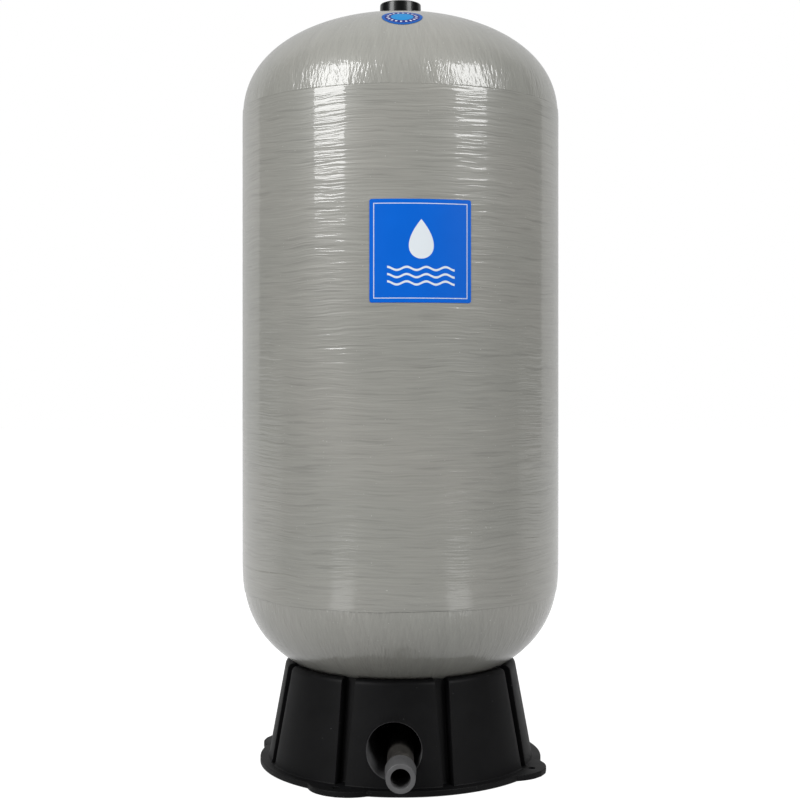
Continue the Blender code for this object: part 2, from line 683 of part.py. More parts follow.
def core_top():
    return STEM_TOP - 2 * SEAT_GAP


def core_foot():
    return core_top() - CORE_LENGTH


def make_valve_core(parent):
    outer = CORE_BORE - SEAT_GAP
    inner = outer - CORE_WALL
    profile = [(inner, core_foot()), (outer, core_foot()), (outer, core_top()), (inner, core_top())]
    core = turned("valve_core", profile, parent, VALVE_STEPS)
    set_finish(core, BRASS, 0.35, 1.0)


def make_valve_pin(parent):
    """The pin and the poppet that it carries under the core's seat."""
    top = STEM_TOP - SEAT_GAP
    poppet_top = core_foot() - SEAT_GAP
    poppet_foot = poppet_top - POPPET_THICKNESS
    profile = [(0, top), (PIN_RADIUS, top), (PIN_RADIUS, poppet_top), (POPPET_RADIUS, poppet_top),
               (POPPET_RADIUS, poppet_foot), (PIN_RADIUS, poppet_foot), (PIN_RADIUS, top - PIN_LENGTH),
               (0, top - PIN_LENGTH)]
    pin = turned("valve_pin", profile, parent, VALVE_STEPS)
    set_finish(pin, STEEL, 0.3, 1.0)


def make_valve_spring(parent):
    """A coil between the bore's ledge and the poppet."""
    foot = SPRING_LEDGE + SEAT_GAP + SPRING_WIRE
    top = core_foot() - SEAT_GAP - POPPET_THICKNESS - SEAT_GAP - SPRING_WIRE
    per_turn = 8
    count = round(SPRING_TURNS * per_turn)
    bm = bmesh.new()
    rings = []
    for step in range(count + 1):
        angle = math.tau * step / per_turn
        height = foot + (top - foot) * step / count
        ring = []
        for side in range(4):
            around = math.tau * side / 4
            radius = SPRING_RADIUS + SPRING_WIRE * math.cos(around)
            ring.append(bm.verts.new((radius * math.cos(angle), radius * math.sin(angle),
                                      height + SPRING_WIRE * math.sin(around))))
        rings.append(ring)
    for ring, after in zip(rings, rings[1:]):
        for side in range(4):
            far = (side + 1) % 4
            bm.faces.new((ring[side], ring[far], after[far], after[side]))
    bm.faces.new(rings[0])
    bm.faces.new(rings[-1])
    spring = add_object("valve_spring", bm, parent)
    set_finish(spring, STEEL, 0.3, 1.0)


def make_dust_cap(parent):
    top = DUST_CAP_LEVEL
    foot = top - DUST_CAP_HEIGHT
    bore = (STEM_RADIUS + SEAT_GAP) / math.cos(math.pi / VALVE_STEPS)
    profile = [(0, DUST_CAP_CEILING), (bore, DUST_CAP_CEILING), (bore, foot), (DUST_CAP_RADIUS, foot),
               (DUST_CAP_RADIUS, top - 0.0008), (DUST_CAP_RADIUS - 0.0008, top), (0, top)]
    cap = turned("valve_dust_cap", profile, parent, VALVE_STEPS)
    set_finish(cap, BLACK_PLASTIC, 0.4)
    low = STEM_TOP + SEAT_GAP
    high = low + DUST_SEAL_THICKNESS
    seal_outer = STEM_RADIUS
    seal_inner = CORE_BORE - 2 * SEAT_GAP
    seal = turned("dust_cap_seal", [(seal_inner, low), (seal_outer, low), (seal_outer, high), (seal_inner, high)],
                  parent, VALVE_STEPS)
    set_finish(seal, RUBBER, 0.6)


# Base


def base_radius(height):
    """The outer radius of the panels at a height."""
    return BASE_FOOT_RADIUS - BASE_TAPER * (height - FLANGE_THICKNESS)


def dish_height(radius):
    """The dish follows the lower dome at a small gap."""
    return dome_height(LOWER_DOME, radius) - DISH_GAP


def dish_radius(height):
    """Where the dish comes up to a height."""
    return dome_point(LOWER_DOME, dome_line_angle(LOWER_DOME, height + DISH_GAP))[0]


def fillet_end_radius(height):
    """Where the panels' rounded top edge runs out onto a ledge at a height."""
    lean = math.atan(BASE_TAPER)
    return base_radius(height - TOP_FILLET * (1 - math.sin(lean))) - TOP_FILLET * math.cos(lean)


def find_base_height():
    """The level at which a ledge of the stated width meets the dish."""
    low = LOWER_POLE
    high = LOWER_TANGENT - DISH_GAP
    for _ in range(40):
        middle = (low + high) / 2
        if dish_radius(middle) < fillet_end_radius(middle) - LEDGE_WIDTH:
            low = middle
        else:
            high = middle
    return (low + high) / 2


BASE_HEIGHT = find_base_height()
RIM_RADIUS = dish_radius(BASE_HEIGHT)


def groove_width(height):
    share = (height - FLANGE_THICKNESS) / (BASE_HEIGHT - FLANGE_THICKNESS)
    return GROOVE_FOOT_WIDTH + (GROOVE_TOP_WIDTH - GROOVE_FOOT_WIDTH) * share


def half_angles(height, inset):
    """Half the angle of a groove at its edges and at its floor."""
    radius = base_radius(height) - inset
    edge_half = groove_width(height) / 2 + inset
    floor_half = edge_half - GROOVE_DEPTH * math.tan(GROOVE_DRAFT)
    return math.asin(edge_half / radius), math.asin(floor_half / (radius - GROOVE_DEPTH))


def wall_row(height, inset, groove_height=None):
    """A row of the wall: (panel radius, height), (groove radius, height) and the groove's half angles."""
    radius = base_radius(height) - inset
    groove_height = height if groove_height is None else groove_height
    groove_radius = base_radius(groove_height) - inset - GROOVE_DEPTH
    return ((radius, height), (groove_radius, groove_height), half_angles(height, inset), None)


def flat_row(radius, height, lug_radius=None):
    """A row that passes the grooves, such as the flange's edge; lug_radius is its radius at the lugs."""
    angles = half_angles(FLANGE_THICKNESS, 0)
    return ((radius, height), (radius, height), angles, lug_radius)


def dish_row(radius, drop):
    height = dish_height(radius) - drop
    return ((radius, height), (radius, height), half_angles(BASE_HEIGHT - TOP_FILLET, BASE_WALL), None)


def top_fillet_rows():
    """The panels' rounded top edge, and the groove floors that run up behind it."""
    lean = math.atan(BASE_TAPER)
    centre_height = BASE_HEIGHT - TOP_FILLET
    start_height = centre_height + TOP_FILLET * math.sin(lean)
    centre_radius = base_radius(start_height) - TOP_FILLET * math.cos(lean)
    groove_top_radius = base_radius(BASE_HEIGHT) - GROOVE_DEPTH
    groove_top = dish_height(groove_top_radius)
    rows = []
    for share in (0, 0.5, 1):
        angle = lean + (math.pi / 2 - lean) * share
        point = (centre_radius + TOP_FILLET * math.cos(angle), centre_height + TOP_FILLET * math.sin(angle))
        groove_height = start_height + (groove_top - start_height) * share
        groove = (base_radius(groove_height) - GROOVE_DEPTH, groove_height)
        rows.append((point, groove, half_angles(start_height, 0), None))
    return rows


def base_rows():
    """The section of the base, as rows from the flange's foot, up the outside, over the dish and down inside."""
    foot = BASE_FOOT_RADIUS + FOOT_FILLET
    foot_row = ((foot, FLANGE_THICKNESS), (foot - GROOVE_DEPTH, FLANGE_THICKNESS),
                half_angles(FLANGE_THICKNESS, 0), None)
    rows = [flat_row(FLANGE_RADIUS, 0, LUG_RADIUS),
            flat_row(FLANGE_RADIUS, FLANGE_THICKNESS - FLANGE_ROUNDING, LUG_RADIUS),
            flat_row(FLANGE_RADIUS - FLANGE_ROUNDING, FLANGE_THICKNESS, LUG_RADIUS - FLANGE_ROUNDING),
            foot_row, wall_row(FLANGE_THICKNESS + FOOT_FILLET, 0)]
    rows += top_fillet_rows()
    groove_rim = base_radius(BASE_HEIGHT) - GROOVE_DEPTH - BASE_WALL
    under_rim = dish_height(RIM_RADIUS - BASE_WALL) - BASE_WALL
    edge = half_angles(BASE_HEIGHT - TOP_FILLET, 0)
    inner_edge = half_angles(BASE_HEIGHT - TOP_FILLET, BASE_WALL)
    rows.append(((RIM_RADIUS, BASE_HEIGHT), (groove_rim, dish_height(groove_rim)), edge, None))
    half_way = (groove_rim - BASE_WALL + DISH_RADIUS) / 2
    rows += [dish_row(half_way, 0), dish_row(DISH_RADIUS, 0)]
    rows += [dish_row(DISH_RADIUS, BASE_WALL), dish_row(half_way, BASE_WALL)]
    rows.append(((RIM_RADIUS - BASE_WALL, under_rim),
                 (groove_rim - BASE_WALL, dish_height(groove_rim - BASE_WALL) - 1.6 * BASE_WALL), inner_edge, None))
    rows.append(wall_row(under_rim, BASE_WALL, dish_height(groove_rim) - 2 * BASE_WALL))
    rows.append(wall_row(0, BASE_WALL))
    return rows


LUG_SHAPE = ((6.8, 1.0), (9.3, 0.97), (11.4, 0.55), (13.5, 0.06))
PANEL_OFFSETS = (20, 27, 34)


def half_sector(row, groove_azimuth, lugged, side):
    """The points of one row on one side of a groove, from its floor to the middle of the panel."""
    (radius, height), (groove_radius, groove_height), (edge, floor), lug_radius = row
    reach = radius if lug_radius is None or not lugged else lug_radius
    floor_radius = reach if groove_radius == radius else groove_radius
    points = [(floor_radius, floor, groove_height), (reach, edge, height)]
    if lugged:
        points += [(radius + (reach - radius) * share, math.radians(degrees), height)
                   for degrees, share in LUG_SHAPE]
    return [on_azimuth(r, groove_azimuth + side * azimuth, z) for r, azimuth, z in points]


def base_row_points(row):
    """All points of one row, round the base, starting at a groove with a lug."""
    points = []
    pitch = math.tau / GROOVE_COUNT
    for groove in range(GROOVE_COUNT):
        azimuth = (groove - 0.5) * pitch
        lugged = groove % 2 == 0
        points += half_sector(row, azimuth, lugged, 1)
        middles = PANEL_OFFSETS if lugged else [45 - offset for offset in reversed(PANEL_OFFSETS)]
        points += [on_azimuth(row[0][0], azimuth + math.radians(offset), row[0][1]) for offset in middles]
        points += reversed(half_sector(row, azimuth + pitch, not lugged, -1))
    return points


def make_base_skin(parent):
    bm = bmesh.new()
    rings = [[bm.verts.new(point) for point in base_row_points(row)] for row in base_rows()]
    for ring, after in zip(rings, rings[1:] + rings[:1]):
        for column in range(len(ring)):
            far = (column + 1) % len(ring)
            bm.faces.new((ring[column], ring[far], after[far], after[column]))
    return add_object("base", bm, parent)


def make_rib(number, parent):
    """An upright plate under the dish, from a groove's floor inwards."""
    middle = BASE_WALL / 2
    wall_top = BASE_HEIGHT - 3 * BASE_WALL
    groove_inside = GROOVE_DEPTH + middle
    dish_end = base_radius(wall_top) - groove_inside - BASE_WALL
    outline = [(RIB_END_RADIUS, RIB_FOOT), (base_radius(RIB_FOOT) - groove_inside, RIB_FOOT),
               (base_radius(wall_top) - groove_inside, wall_top)]
    outline += [(radius, dish_height(radius) - middle)
                for radius in (dish_end, (dish_end + RIB_END_RADIUS) / 2, RIB_END_RADIUS)]
    bm = bmesh.new()
    verts = [bm.verts.new((RIB_THICKNESS / 2, -radius, height)) for radius, height in outline]
    face = bm.faces.new(verts)
    extruded = bmesh.ops.extrude_face_region(bm, geom=[face])["geom"]
    bmesh.ops.translate(bm, vec=(-RIB_THICKNESS, 0, 0),
                        verts=[v for v in extruded if isinstance(v, bmesh.types.BMVert)])
    rib = add_object(f"base_rib_{number}", bm, parent)
    rib.rotation_euler = (0, 0, (number - 0.5) * math.tau / GROOVE_COUNT)
    return rib


def tunnel_station(radius, y, sides, follow_wall):
    """A ring of the tunnel; at the mouth it follows the middle of the front wall."""
    ring = []
    for side in range(sides):
        around = math.tau * side / sides
        x = radius * math.cos(around)
        z = TUNNEL_HEIGHT + radius * math.sin(around)
        wall = base_radius(z) - BASE_WALL / 2
        ring.append((x, -math.sqrt(wall ** 2 - x ** 2) if follow_wall else y, z))
    return ring


def tunnel_body(name, mouth_radius, end_radius, mouth_y, end_y, parent):
    """A tapered round bar along the tunnel; without mouth_y it starts inside the front wall."""
    sides = FITTING_STEPS
    bm = bmesh.new()
    mouth = [bm.verts.new(point) for point in tunnel_station(mouth_radius, mouth_y, sides, mouth_y is None)]
    end = [bm.verts.new(point) for point in tunnel_station(end_radius, end_y, sides, False)]
    for side in range(sides):
        far = (side + 1) % sides
        bm.faces.new((mouth[side], mouth[far], end[far], end[side]))
    bm.faces.new(end)
    middle_y = -(base_radius(TUNNEL_HEIGHT) - BASE_WALL / 2) if mouth_y is None else mouth_y
    centre = bm.verts.new((0, middle_y, TUNNEL_HEIGHT))
    for side in range(sides):
        bm.faces.new((mouth[side], centre, mouth[(side + 1) % sides]))
    return add_object(name, bm, parent)


def make_base(parent):
    base = make_base_skin(parent)
    for number in range(GROOVE_COUNT):
        combine(base, make_rib(number, parent), 'UNION')
    tunnel = tunnel_body("base_tunnel", TUNNEL_MOUTH_RADIUS + TUNNEL_WALL, TUNNEL_END_RADIUS + TUNNEL_WALL,
                         None, TUNNEL_OVERRUN, parent)
    bore = tunnel_body("base_tunnel_bore", TUNNEL_MOUTH_RADIUS, TUNNEL_END_RADIUS,
                       -BASE_FOOT_RADIUS - 0.01, TUNNEL_OVERRUN + 0.01, parent)
    roof_cut = prism("base_roof_cut", UNION_NUT_RADIUS + BASE_WALL, FITTING_STEPS, ROOF_CUT_HEIGHT,
                     TUNNEL_HEIGHT + 1.5 * TUNNEL_MOUTH_RADIUS, parent)
    combine(base, tunnel, 'UNION')
    combine(base, bore, 'DIFFERENCE')
    combine(base, roof_cut, 'DIFFERENCE')
    for number in range(0, GROOVE_COUNT, 2):
        hole = prism(f"base_lug_hole_{number}", LUG_HOLE_RADIUS, 16, -0.01, FLANGE_THICKNESS + 0.01, parent)
        hole.location = on_azimuth(LUG_HOLE_PLACE, (number - 0.5) * math.tau / GROOVE_COUNT, 0)
        combine(base, hole, 'DIFFERENCE')
    set_finish(base, BLACK_PLASTIC, 0.45)


# Labels


def rounded_outline(width, height, corner, steps=3):
    """A rectangle about the origin with round corners, as (across, up) points."""
    points = []
    for quarter, (side, level) in enumerate(((1, 1), (-1, 1), (-1, -1), (1, -1))):
        middle = (side * (width / 2 - corner), level * (height / 2 - corner))
        for step in range(steps + 1):
            angle = math.pi / 2 * (quarter + step / steps)
            points.append((middle[0] + corner * math.cos(angle), middle[1] + corner * math.sin(angle)))
    return points


def make_front_label(parent):
    """A flat sheet with round corners, creased along the shell's facets and wrapped on it."""
    bm = bmesh.new()
    verts = [bm.verts.new((across, 0, up)) for across, up
             in rounded_outline(FRONT_LABEL_WIDTH, FRONT_LABEL_HEIGHT, FRONT_LABEL_CORNER)]
    bm.faces.new(verts)
    facet = math.tau / SHELL_STEPS
    reach = FRONT_LABEL_WIDTH / 2 / TANK_RADIUS
    first = math.ceil((FRONT_LABEL_AZIMUTH - reach) / facet)
    last = math.floor((FRONT_LABEL_AZIMUTH + reach) / facet)
    for crease in range(first, last + 1):
        across = (crease * facet - FRONT_LABEL_AZIMUTH) * TANK_RADIUS
        bmesh.ops.bisect_plane(bm, geom=bm.verts[:] + bm.edges[:] + bm.faces[:], dist=1e-6,
                               plane_co=(across, 0, 0), plane_no=(1, 0, 0))
    front = bmesh.ops.extrude_face_region(bm, geom=bm.faces[:])["geom"]
    bmesh.ops.translate(bm, vec=(0, -LABEL_THICKNESS, 0),
                        verts=[v for v in front if isinstance(v, bmesh.types.BMVert)])
    for vert in bm.verts:
        azimuth = FRONT_LABEL_AZIMUTH + vert.co.x / TANK_RADIUS
        radius = TANK_RADIUS + SEAT_GAP - vert.co.y
        vert.co = on_azimuth(radius, azimuth, FRONT_LABEL_MIDDLE + vert.co.z)
    label = add_object("front_label", bm, parent)
    set_finish(label, LABEL_BLUE, 0.3)


def make_top_label(parent):
    """A disc laid on the upper dome in front of the cover."""
    here = dome_angle(UPPER_DOME, TOP_LABEL_PLACE)
    low = dome_point(UPPER_DOME, here - 0.05)
    high = dome_point(UPPER_DOME, here + 0.05)
    slope = math.atan2(high[1] - low[1], low[0] - high[0])
    sides = 20
    bm = bmesh.new()
    sheets = []
    for lift in (SEAT_GAP, SEAT_GAP + LABEL_THICKNESS):
        rings = []
        for share in (0, 0.5, 1):
            ring = []
            for side in range(sides if share else 1):
                around = math.tau * side / sides
                across = TOP_LABEL_RADIUS * share * math.cos(around)
                along = TOP_LABEL_RADIUS * share * math.sin(around)
                radius = TOP_LABEL_PLACE - along * math.cos(slope)
                place = dome_point(UPPER_DOME, dome_angle(UPPER_DOME, radius), -lift)
                ring.append(bm.verts.new(on_azimuth(place[0], TOP_LABEL_AZIMUTH + across / radius, place[1])))
            rings.append(ring)
        for side in range(sides):
            far = (side + 1) % sides
            bm.faces.new((rings[0][0], rings[1][side], rings[1][far]))
            bm.faces.new((rings[1][side], rings[2][side], rings[2][far], rings[1][far]))
        sheets.append(rings[2])
    for side in range(sides):
        far = (side + 1) % sides
        bm.faces.new((sheets[0][side], sheets[0][far], sheets[1][far], sheets[1][side]))
    label = add_object("top_label", bm, parent)
    set_finish(label, TOP_LABEL_BLUE, 0.3)


def main():
    remove_startup_objects()
    axis = add_empty("tank_axis", location=(0, AXIS_PLACE, 0))
    base_turn = add_empty("base_turn", axis, turn=BASE_TURN)
    make_shell(axis)
    make_liner("upper_liner", UPPER_DOME, VALVE_OPENING, SEAM_HEIGHT + SEAT_GAP / 2, axis)
    make_liner("lower_liner", LOWER_DOME, WATER_OPENING, SEAM_HEIGHT - SEAT_GAP / 2, axis)
    make_diaphragm(axis)
    make_clench_ring(axis)
    make_water_boss(axis)
    make_gasket("water_boss_gasket", WATER_OPENING, WATER_GASKET_RADIUS,
                water_flange_foot() - SEAT_GAP - GASKET_THICKNESS, axis)
    make_water_nut(axis)
    make_union(axis)
    make_diffuser(axis)
    make_elbow(axis)
    make_spigot(axis)
    make_valve_boss(axis)
    make_gasket("valve_boss_gasket", VALVE_OPENING, VALVE_GASKET_RADIUS, valve_flange_top() + SEAT_GAP, axis)
    make_valve_nut(axis)
    make_cover(axis)
    make_air_valve(axis)
    make_valve_core(axis)
    make_valve_pin(axis)
    make_valve_spring(axis)
    make_dust_cap(axis)
    make_base(base_turn)
    make_front_label(axis)
    make_top_label(axis)


main()
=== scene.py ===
from math import acos, asin, atan, atan2, copysign, cos, hypot, pi, radians, sin, sqrt, tan, tau

import bmesh
import bpy
import numpy as np
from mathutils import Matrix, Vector


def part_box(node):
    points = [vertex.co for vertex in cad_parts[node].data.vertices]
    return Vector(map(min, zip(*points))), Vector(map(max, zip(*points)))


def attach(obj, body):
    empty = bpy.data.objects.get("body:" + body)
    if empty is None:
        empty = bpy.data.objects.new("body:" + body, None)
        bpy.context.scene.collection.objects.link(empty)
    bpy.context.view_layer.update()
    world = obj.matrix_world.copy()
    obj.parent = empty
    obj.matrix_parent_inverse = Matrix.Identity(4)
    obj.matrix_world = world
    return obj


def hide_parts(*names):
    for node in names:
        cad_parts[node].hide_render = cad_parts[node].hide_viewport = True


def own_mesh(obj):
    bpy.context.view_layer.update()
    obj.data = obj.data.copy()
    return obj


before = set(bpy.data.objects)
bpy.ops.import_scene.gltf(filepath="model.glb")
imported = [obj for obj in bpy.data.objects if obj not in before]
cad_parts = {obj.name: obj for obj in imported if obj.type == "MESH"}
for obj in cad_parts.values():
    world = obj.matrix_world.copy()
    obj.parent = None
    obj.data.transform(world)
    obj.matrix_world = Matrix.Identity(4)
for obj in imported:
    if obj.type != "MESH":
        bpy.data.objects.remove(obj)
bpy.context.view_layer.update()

# Sizes that the pieces share with the model, in metres
AXIS = (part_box("composite_shell")[0].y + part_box("composite_shell")[1].y) / 2
SEAT_GAP = 0.0003
DISH_GAP = 0.0006
TANK_RADIUS = 0.267
HOOP_THICKNESS = 0.0008
DOME_RADIUS = TANK_RADIUS - HOOP_THICKNESS
SHELL_WALL = 0.0055
UPPER_HOOP_END = 1.093
LOWER_HOOP_END = 0.289
UPPER_DOME = (1.0765, 1, 0.1793, 2.0, 2.41)
LOWER_DOME = (0.3365, -1, 0.2045, 2.33, 2.44)
SEAM_HEIGHT = (UPPER_DOME[0] + LOWER_DOME[0]) / 2
LINER_INSET = SHELL_WALL + SEAT_GAP
LINER_WALL = 0.004
VALVE_OPENING = 0.0220
WATER_OPENING = 0.0343

BOSS_FLANGE = 0.006
WATER_FLANGE_RADIUS = 0.070
WATER_NUT_RADIUS = 0.048
WATER_GASKET_RADIUS = 0.050
UNION_NUT_RADIUS = 0.042
UNION_LIP = 0.0047
RING_SEAT = (0.0039, 0.0045)
AIR_FLANGE_RADIUS = 0.058
AIR_BORE_RADIUS = 0.00515
POCKET_RADIUS = 0.014
POCKET_FLOOR = 1.246
VALVE_NUT_RADIUS = 0.0316
COVER_RING_SECTION = 0.00135
COVER_RING_GROOVE = 0.0033
STEM_HEX_RADIUS = 0.00735
STEM_SIDES = 48

PIPE_RADIUS = 0.0211
PIPE_BORE = 0.0152
ELBOW_TOP = 0.145
ELBOW_BEND = 0.026
COLLAR_TOP = 0.1117
COLLAR_FOOT = 0.104
OUTLET_HEIGHT = 0.048
HEX_START = 0.238
HEX_FRONT = 0.2605
HEX_CORNER_RADIUS = 0.0244
SOCKET_RADIUS = 0.0172
SOCKET_DEPTH = 0.018
SPIGOT_LENGTH = 0.0467
SPIGOT_REAR_RADIUS = 0.0241
SPIGOT_FRONT_RADIUS = 0.0224

BASE_HEIGHT = 0.170
BASE_TURN = radians(-2.75)
BASE_FOOT_RADIUS = 0.2227
BASE_TAPER = 0.183
BASE_WALL = 0.004
FLANGE_RADIUS = 0.237
FLANGE_THICKNESS = 0.0092
FLANGE_ROUNDING = 0.0013
FOOT_FILLET = 0.002
TOP_FILLET = 0.009
GROOVE_COUNT = 8
GROOVE_DEPTH = 0.018
GROOVE_TOP_WIDTH = 0.023
GROOVE_FOOT_WIDTH = 0.0175
GROOVE_DRAFT = radians(3)
LEAST_DRAFT_ANGLE = 0.0012
GROOVE_FILLET = 0.0018
GROOVE_EDGE = 0.0013
DISH_RADIUS = 0.125
LUG_RADIUS = 0.2576
LUG_HOLE_RADIUS = 0.00565
LUG_HOLE_PLACE = 0.2364
LUG_HALF_ANGLE = radians(12.9)
PANEL_ANGLES = (5.7, 6.8, 7.8, 8.6, 9.4, 10.2, 11.0, 11.8, 12.4, 12.9, 13.5, 14.4, 16, 18.2, 20.4, 22.5)
RIB_THICKNESS = 0.004
RIB_END_RADIUS = 0.132
RIB_FOOT = 0.012
TUNNEL_HEIGHT = 0.0647
TUNNEL_MOUTH_RADIUS = 0.0432
TUNNEL_END_RADIUS = 0.041
TUNNEL_WALL = 0.0035
TUNNEL_OVERRUN = 0.016
TUNNEL_ROUNDING = 0.0016
ROOF_CUT_RADIUS = 0.046
ROOF_CUT_HEIGHT = 0.092
ROOF_CUT_TOP = 0.13

LABEL_THICKNESS = 0.0004
FRONT_LABEL = (0.1585, 0.1575, 0.0035)
FRONT_LABEL_MIDDLE = 0.8386
FRONT_LABEL_AZIMUTH = radians(6.8)
TOP_LABEL_RADIUS = 0.0325
TOP_LABEL_PLACE = 0.184
TOP_LABEL_AZIMUTH = radians(0.8)

# Winding, light and fineness
RIDGE_PITCH = (0.004, 0.009)
RIDGE_DEPTH = 0.0002
WHITE_BEHIND = 0.6
WHITE_NEAR_BASE = 0.4
WHITE_OVERHEAD = 0.42
LOW_GLARE = 2.0
# Lighter grey painted inside the base's tunnel: painted light standing in for light that shines in through
# its mouth
TUNNEL_PAINTED_LIGHT = (84, 84, 85)
CAMERA_DISTANCE = 2.4831
CAMERA_HEIGHT = 0.6488
LAMP_DISTANCE = 3.84
LAMP_AZIMUTH = radians(50.2)
FLOOR_HALF = 15.0
DARK_FRONT = 0.03
DIFFUSE_LIGHT = 0.28
FLOOR_GLOW = 0.85
SHELL_SIDES = 192
ROUND_SIDES = 96
WINDING_ROW = 0.0021
DOME_ROWS = 40


# Mesh tools


def on_azimuth(radius, azimuth, height):
    """A point about the tank's axis; azimuth 0 is the front, towards -Y."""
    return (radius * sin(azimuth), -radius * cos(azimuth), height)


def grid_faces(rows, columns, wrap_rows, wrap_columns):
    faces = []
    for row in range(rows if wrap_rows else rows - 1):
        here = row * columns
        after = (row + 1) % rows * columns
        for column in range(columns if wrap_columns else columns - 1):
            far = (column + 1) % columns
            faces.append((here + column, here + far, after + far, after + column))
    return faces


def placed(name, data, location=(0, 0, 0)):
    """A new object in the scene."""
    thing = bpy.data.objects.new(name, data)
    thing.location = location
    bpy.context.scene.collection.objects.link(thing)
    return thing


def add_piece(name, points, faces, material, smooth_angle=30):
    """A piece about the tank's axis, with doubled points merged and its faces pointing out."""
    mesh = bpy.data.meshes.new(name)
    mesh.from_pydata([tuple(map(float, point)) for point in points], [], faces)
    bm = bmesh.new()
    bm.from_mesh(mesh)
    bmesh.ops.remove_doubles(bm, verts=bm.verts, dist=1e-7)
    bmesh.ops.recalc_face_normals(bm, faces=bm.faces)
    bm.to_mesh(mesh)
    bm.free()
    mesh.shade_smooth()
    mesh.set_sharp_from_angle(angle=radians(smooth_angle))
    if material is not None:
        mesh.materials.append(material)
    return placed(name, mesh, (0, AXIS, 0))


def install(piece, body, slot, *nodes):
    """Puts a finished piece in the place of the model's nodes."""
    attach(piece, body)
    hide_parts(*nodes)


def arc(centre, radius, first, last, steps):
    angles = [first + (last - first) * step / steps for step in range(steps + 1)]
    return [(centre[0] + radius * cos(angle), centre[1] + radius * sin(angle)) for angle in angles]


def bent(first, corner, last, shares):
    """Points on a rounded corner, from first to last."""
    return [(1 - s) ** 2 * first + 2 * s * (1 - s) * corner + s ** 2 * last for s in shares]


def rounded(profile, steps=4):
    """Rounds the corners of a closed profile of (radius, height, rounding) points."""
    result = []
    for index, (radius, height, rounding) in enumerate(profile):
        corner = np.array((radius, height))
        if not rounding:
            result.append(tuple(corner))
            continue
        before = np.array(profile[index - 1][:2]) - corner
        after = np.array(profile[(index + 1) % len(profile)][:2]) - corner
        first = corner + before / np.linalg.norm(before) * rounding
        last = corner + after / np.linalg.norm(after) * rounding
        result += [tuple(point) for point in bent(first, corner, last, np.linspace(0, 1, steps + 1))]
    return result


def turned(name, profile, material, sides=ROUND_SIDES, closed=True):
    """A piece turned about Z. A radius is one number, or one for each side."""
    around = np.arange(sides) * tau / sides
    points = []
    for radius, height in profile:
        radii = np.broadcast_to(radius, sides)
        points += list(zip(radii * np.cos(around), radii * np.sin(around), np.full(sides, height)))
    faces = grid_faces(len(profile), sides, closed, True)
    faces = [face for face in faces if not on_the_axis(face, points)]
    return add_piece(name, points, faces, material)


def on_the_axis(face, points):
    return all(abs(points[corner][0]) + abs(points[corner][1]) < 1e-9 for corner in face)


def polygon_radii(corners, corner_radius, limit, sides=ROUND_SIDES, rounding=0.0006):
    """Radii of a polygon with a corner on +X, with rounded corners, cut by a circle."""
    pitch = tau / corners
    around = np.arange(sides) * tau / sides
    flat = corner_radius * cos(pitch / 2) / np.cos(np.mod(around, pitch) - pitch / 2)
    return np.minimum(np.minimum(flat, corner_radius - rounding), limit)


def applied(piece, cutters):
    """Cuts or joins a piece with its cutters, and leaves one plain mesh."""
    for cutter, operation in cutters:
        modifier = piece.modifiers.new(cutter.name, 'BOOLEAN')
        modifier.operation = operation
        modifier.solver = 'EXACT'
        modifier.object = cutter
    bpy.context.view_layer.update()
    graph = bpy.context.evaluated_depsgraph_get()
    mesh = bpy.data.meshes.new_from_object(piece.evaluated_get(graph))
    piece.modifiers.clear()
    piece.data = mesh
    for cutter, _ in cutters:
        bpy.data.objects.remove(cutter)
    mesh.shade_smooth()
    mesh.set_sharp_from_angle(angle=radians(30))


# Domes: (r / radius) ^ a + (h / rise) ^ b = 1, with h counted from the tangent line


def dome_angle(dome, radius):
    return acos((radius / DOME_RADIUS) ** (dome[3] / 2))


def dome_line_angle(dome, height):
    return asin((abs(height - dome[0]) / dome[2]) ** (dome[4] / 2))


def dome_point(dome, angle, inset=0.0):
    tangent, side, rise, radius_power, height_power = dome
    radius = DOME_RADIUS * cos(angle) ** (2 / radius_power)
    height = rise * sin(angle) ** (2 / height_power)
    slope_r = radius_power / DOME_RADIUS * (radius / DOME_RADIUS) ** (radius_power - 1)
    slope_h = height_power / rise * (height / rise) ** (height_power - 1)
    length = hypot(slope_r, slope_h)
    return (radius - inset * slope_r / length, tangent + side * (height - inset * slope_h / length))


def dome_height(dome, radius, inset=0.0):
    return dome_point(dome, dome_angle(dome, radius), inset)[1]


def dome_run(dome, first, last, inset, steps):
    """Points along a dome between two angles, closer together towards the pole."""
    return [dome_point(dome, first + (last - first) * step / steps, inset) for step in range(steps + 1)]


# Wound shell


def winding_knots(seed):
    """Heights and depths of the ridges that the hoop tows leave."""
    random = np.random.default_rng(seed)
    heights = [LOWER_HOOP_END - 0.05]
    while heights[-1] < UPPER_HOOP_END + 0.05:
        heights.append(heights[-1] + random.uniform(*RIDGE_PITCH))
    return np.array(heights), random.uniform(0, RIDGE_DEPTH, len(heights))


def winding_relief(azimuth, height):
    """How far the resin skin lies below the outermost winding."""
    wave = 0.0011 * np.sin(3 * azimuth + 9 * height) + 0.0007 * np.sin(7 * azimuth - 17 * height)
    first = np.interp(height + wave, *winding_knots(3))
    second = np.interp(height - wave, *winding_knots(8))
    mix = 0.5 + 0.5 * np.sin(2 * azimuth + 21 * height + 1.3 * np.sin(3 * azimuth))
    return first * mix + second * (1 - mix)


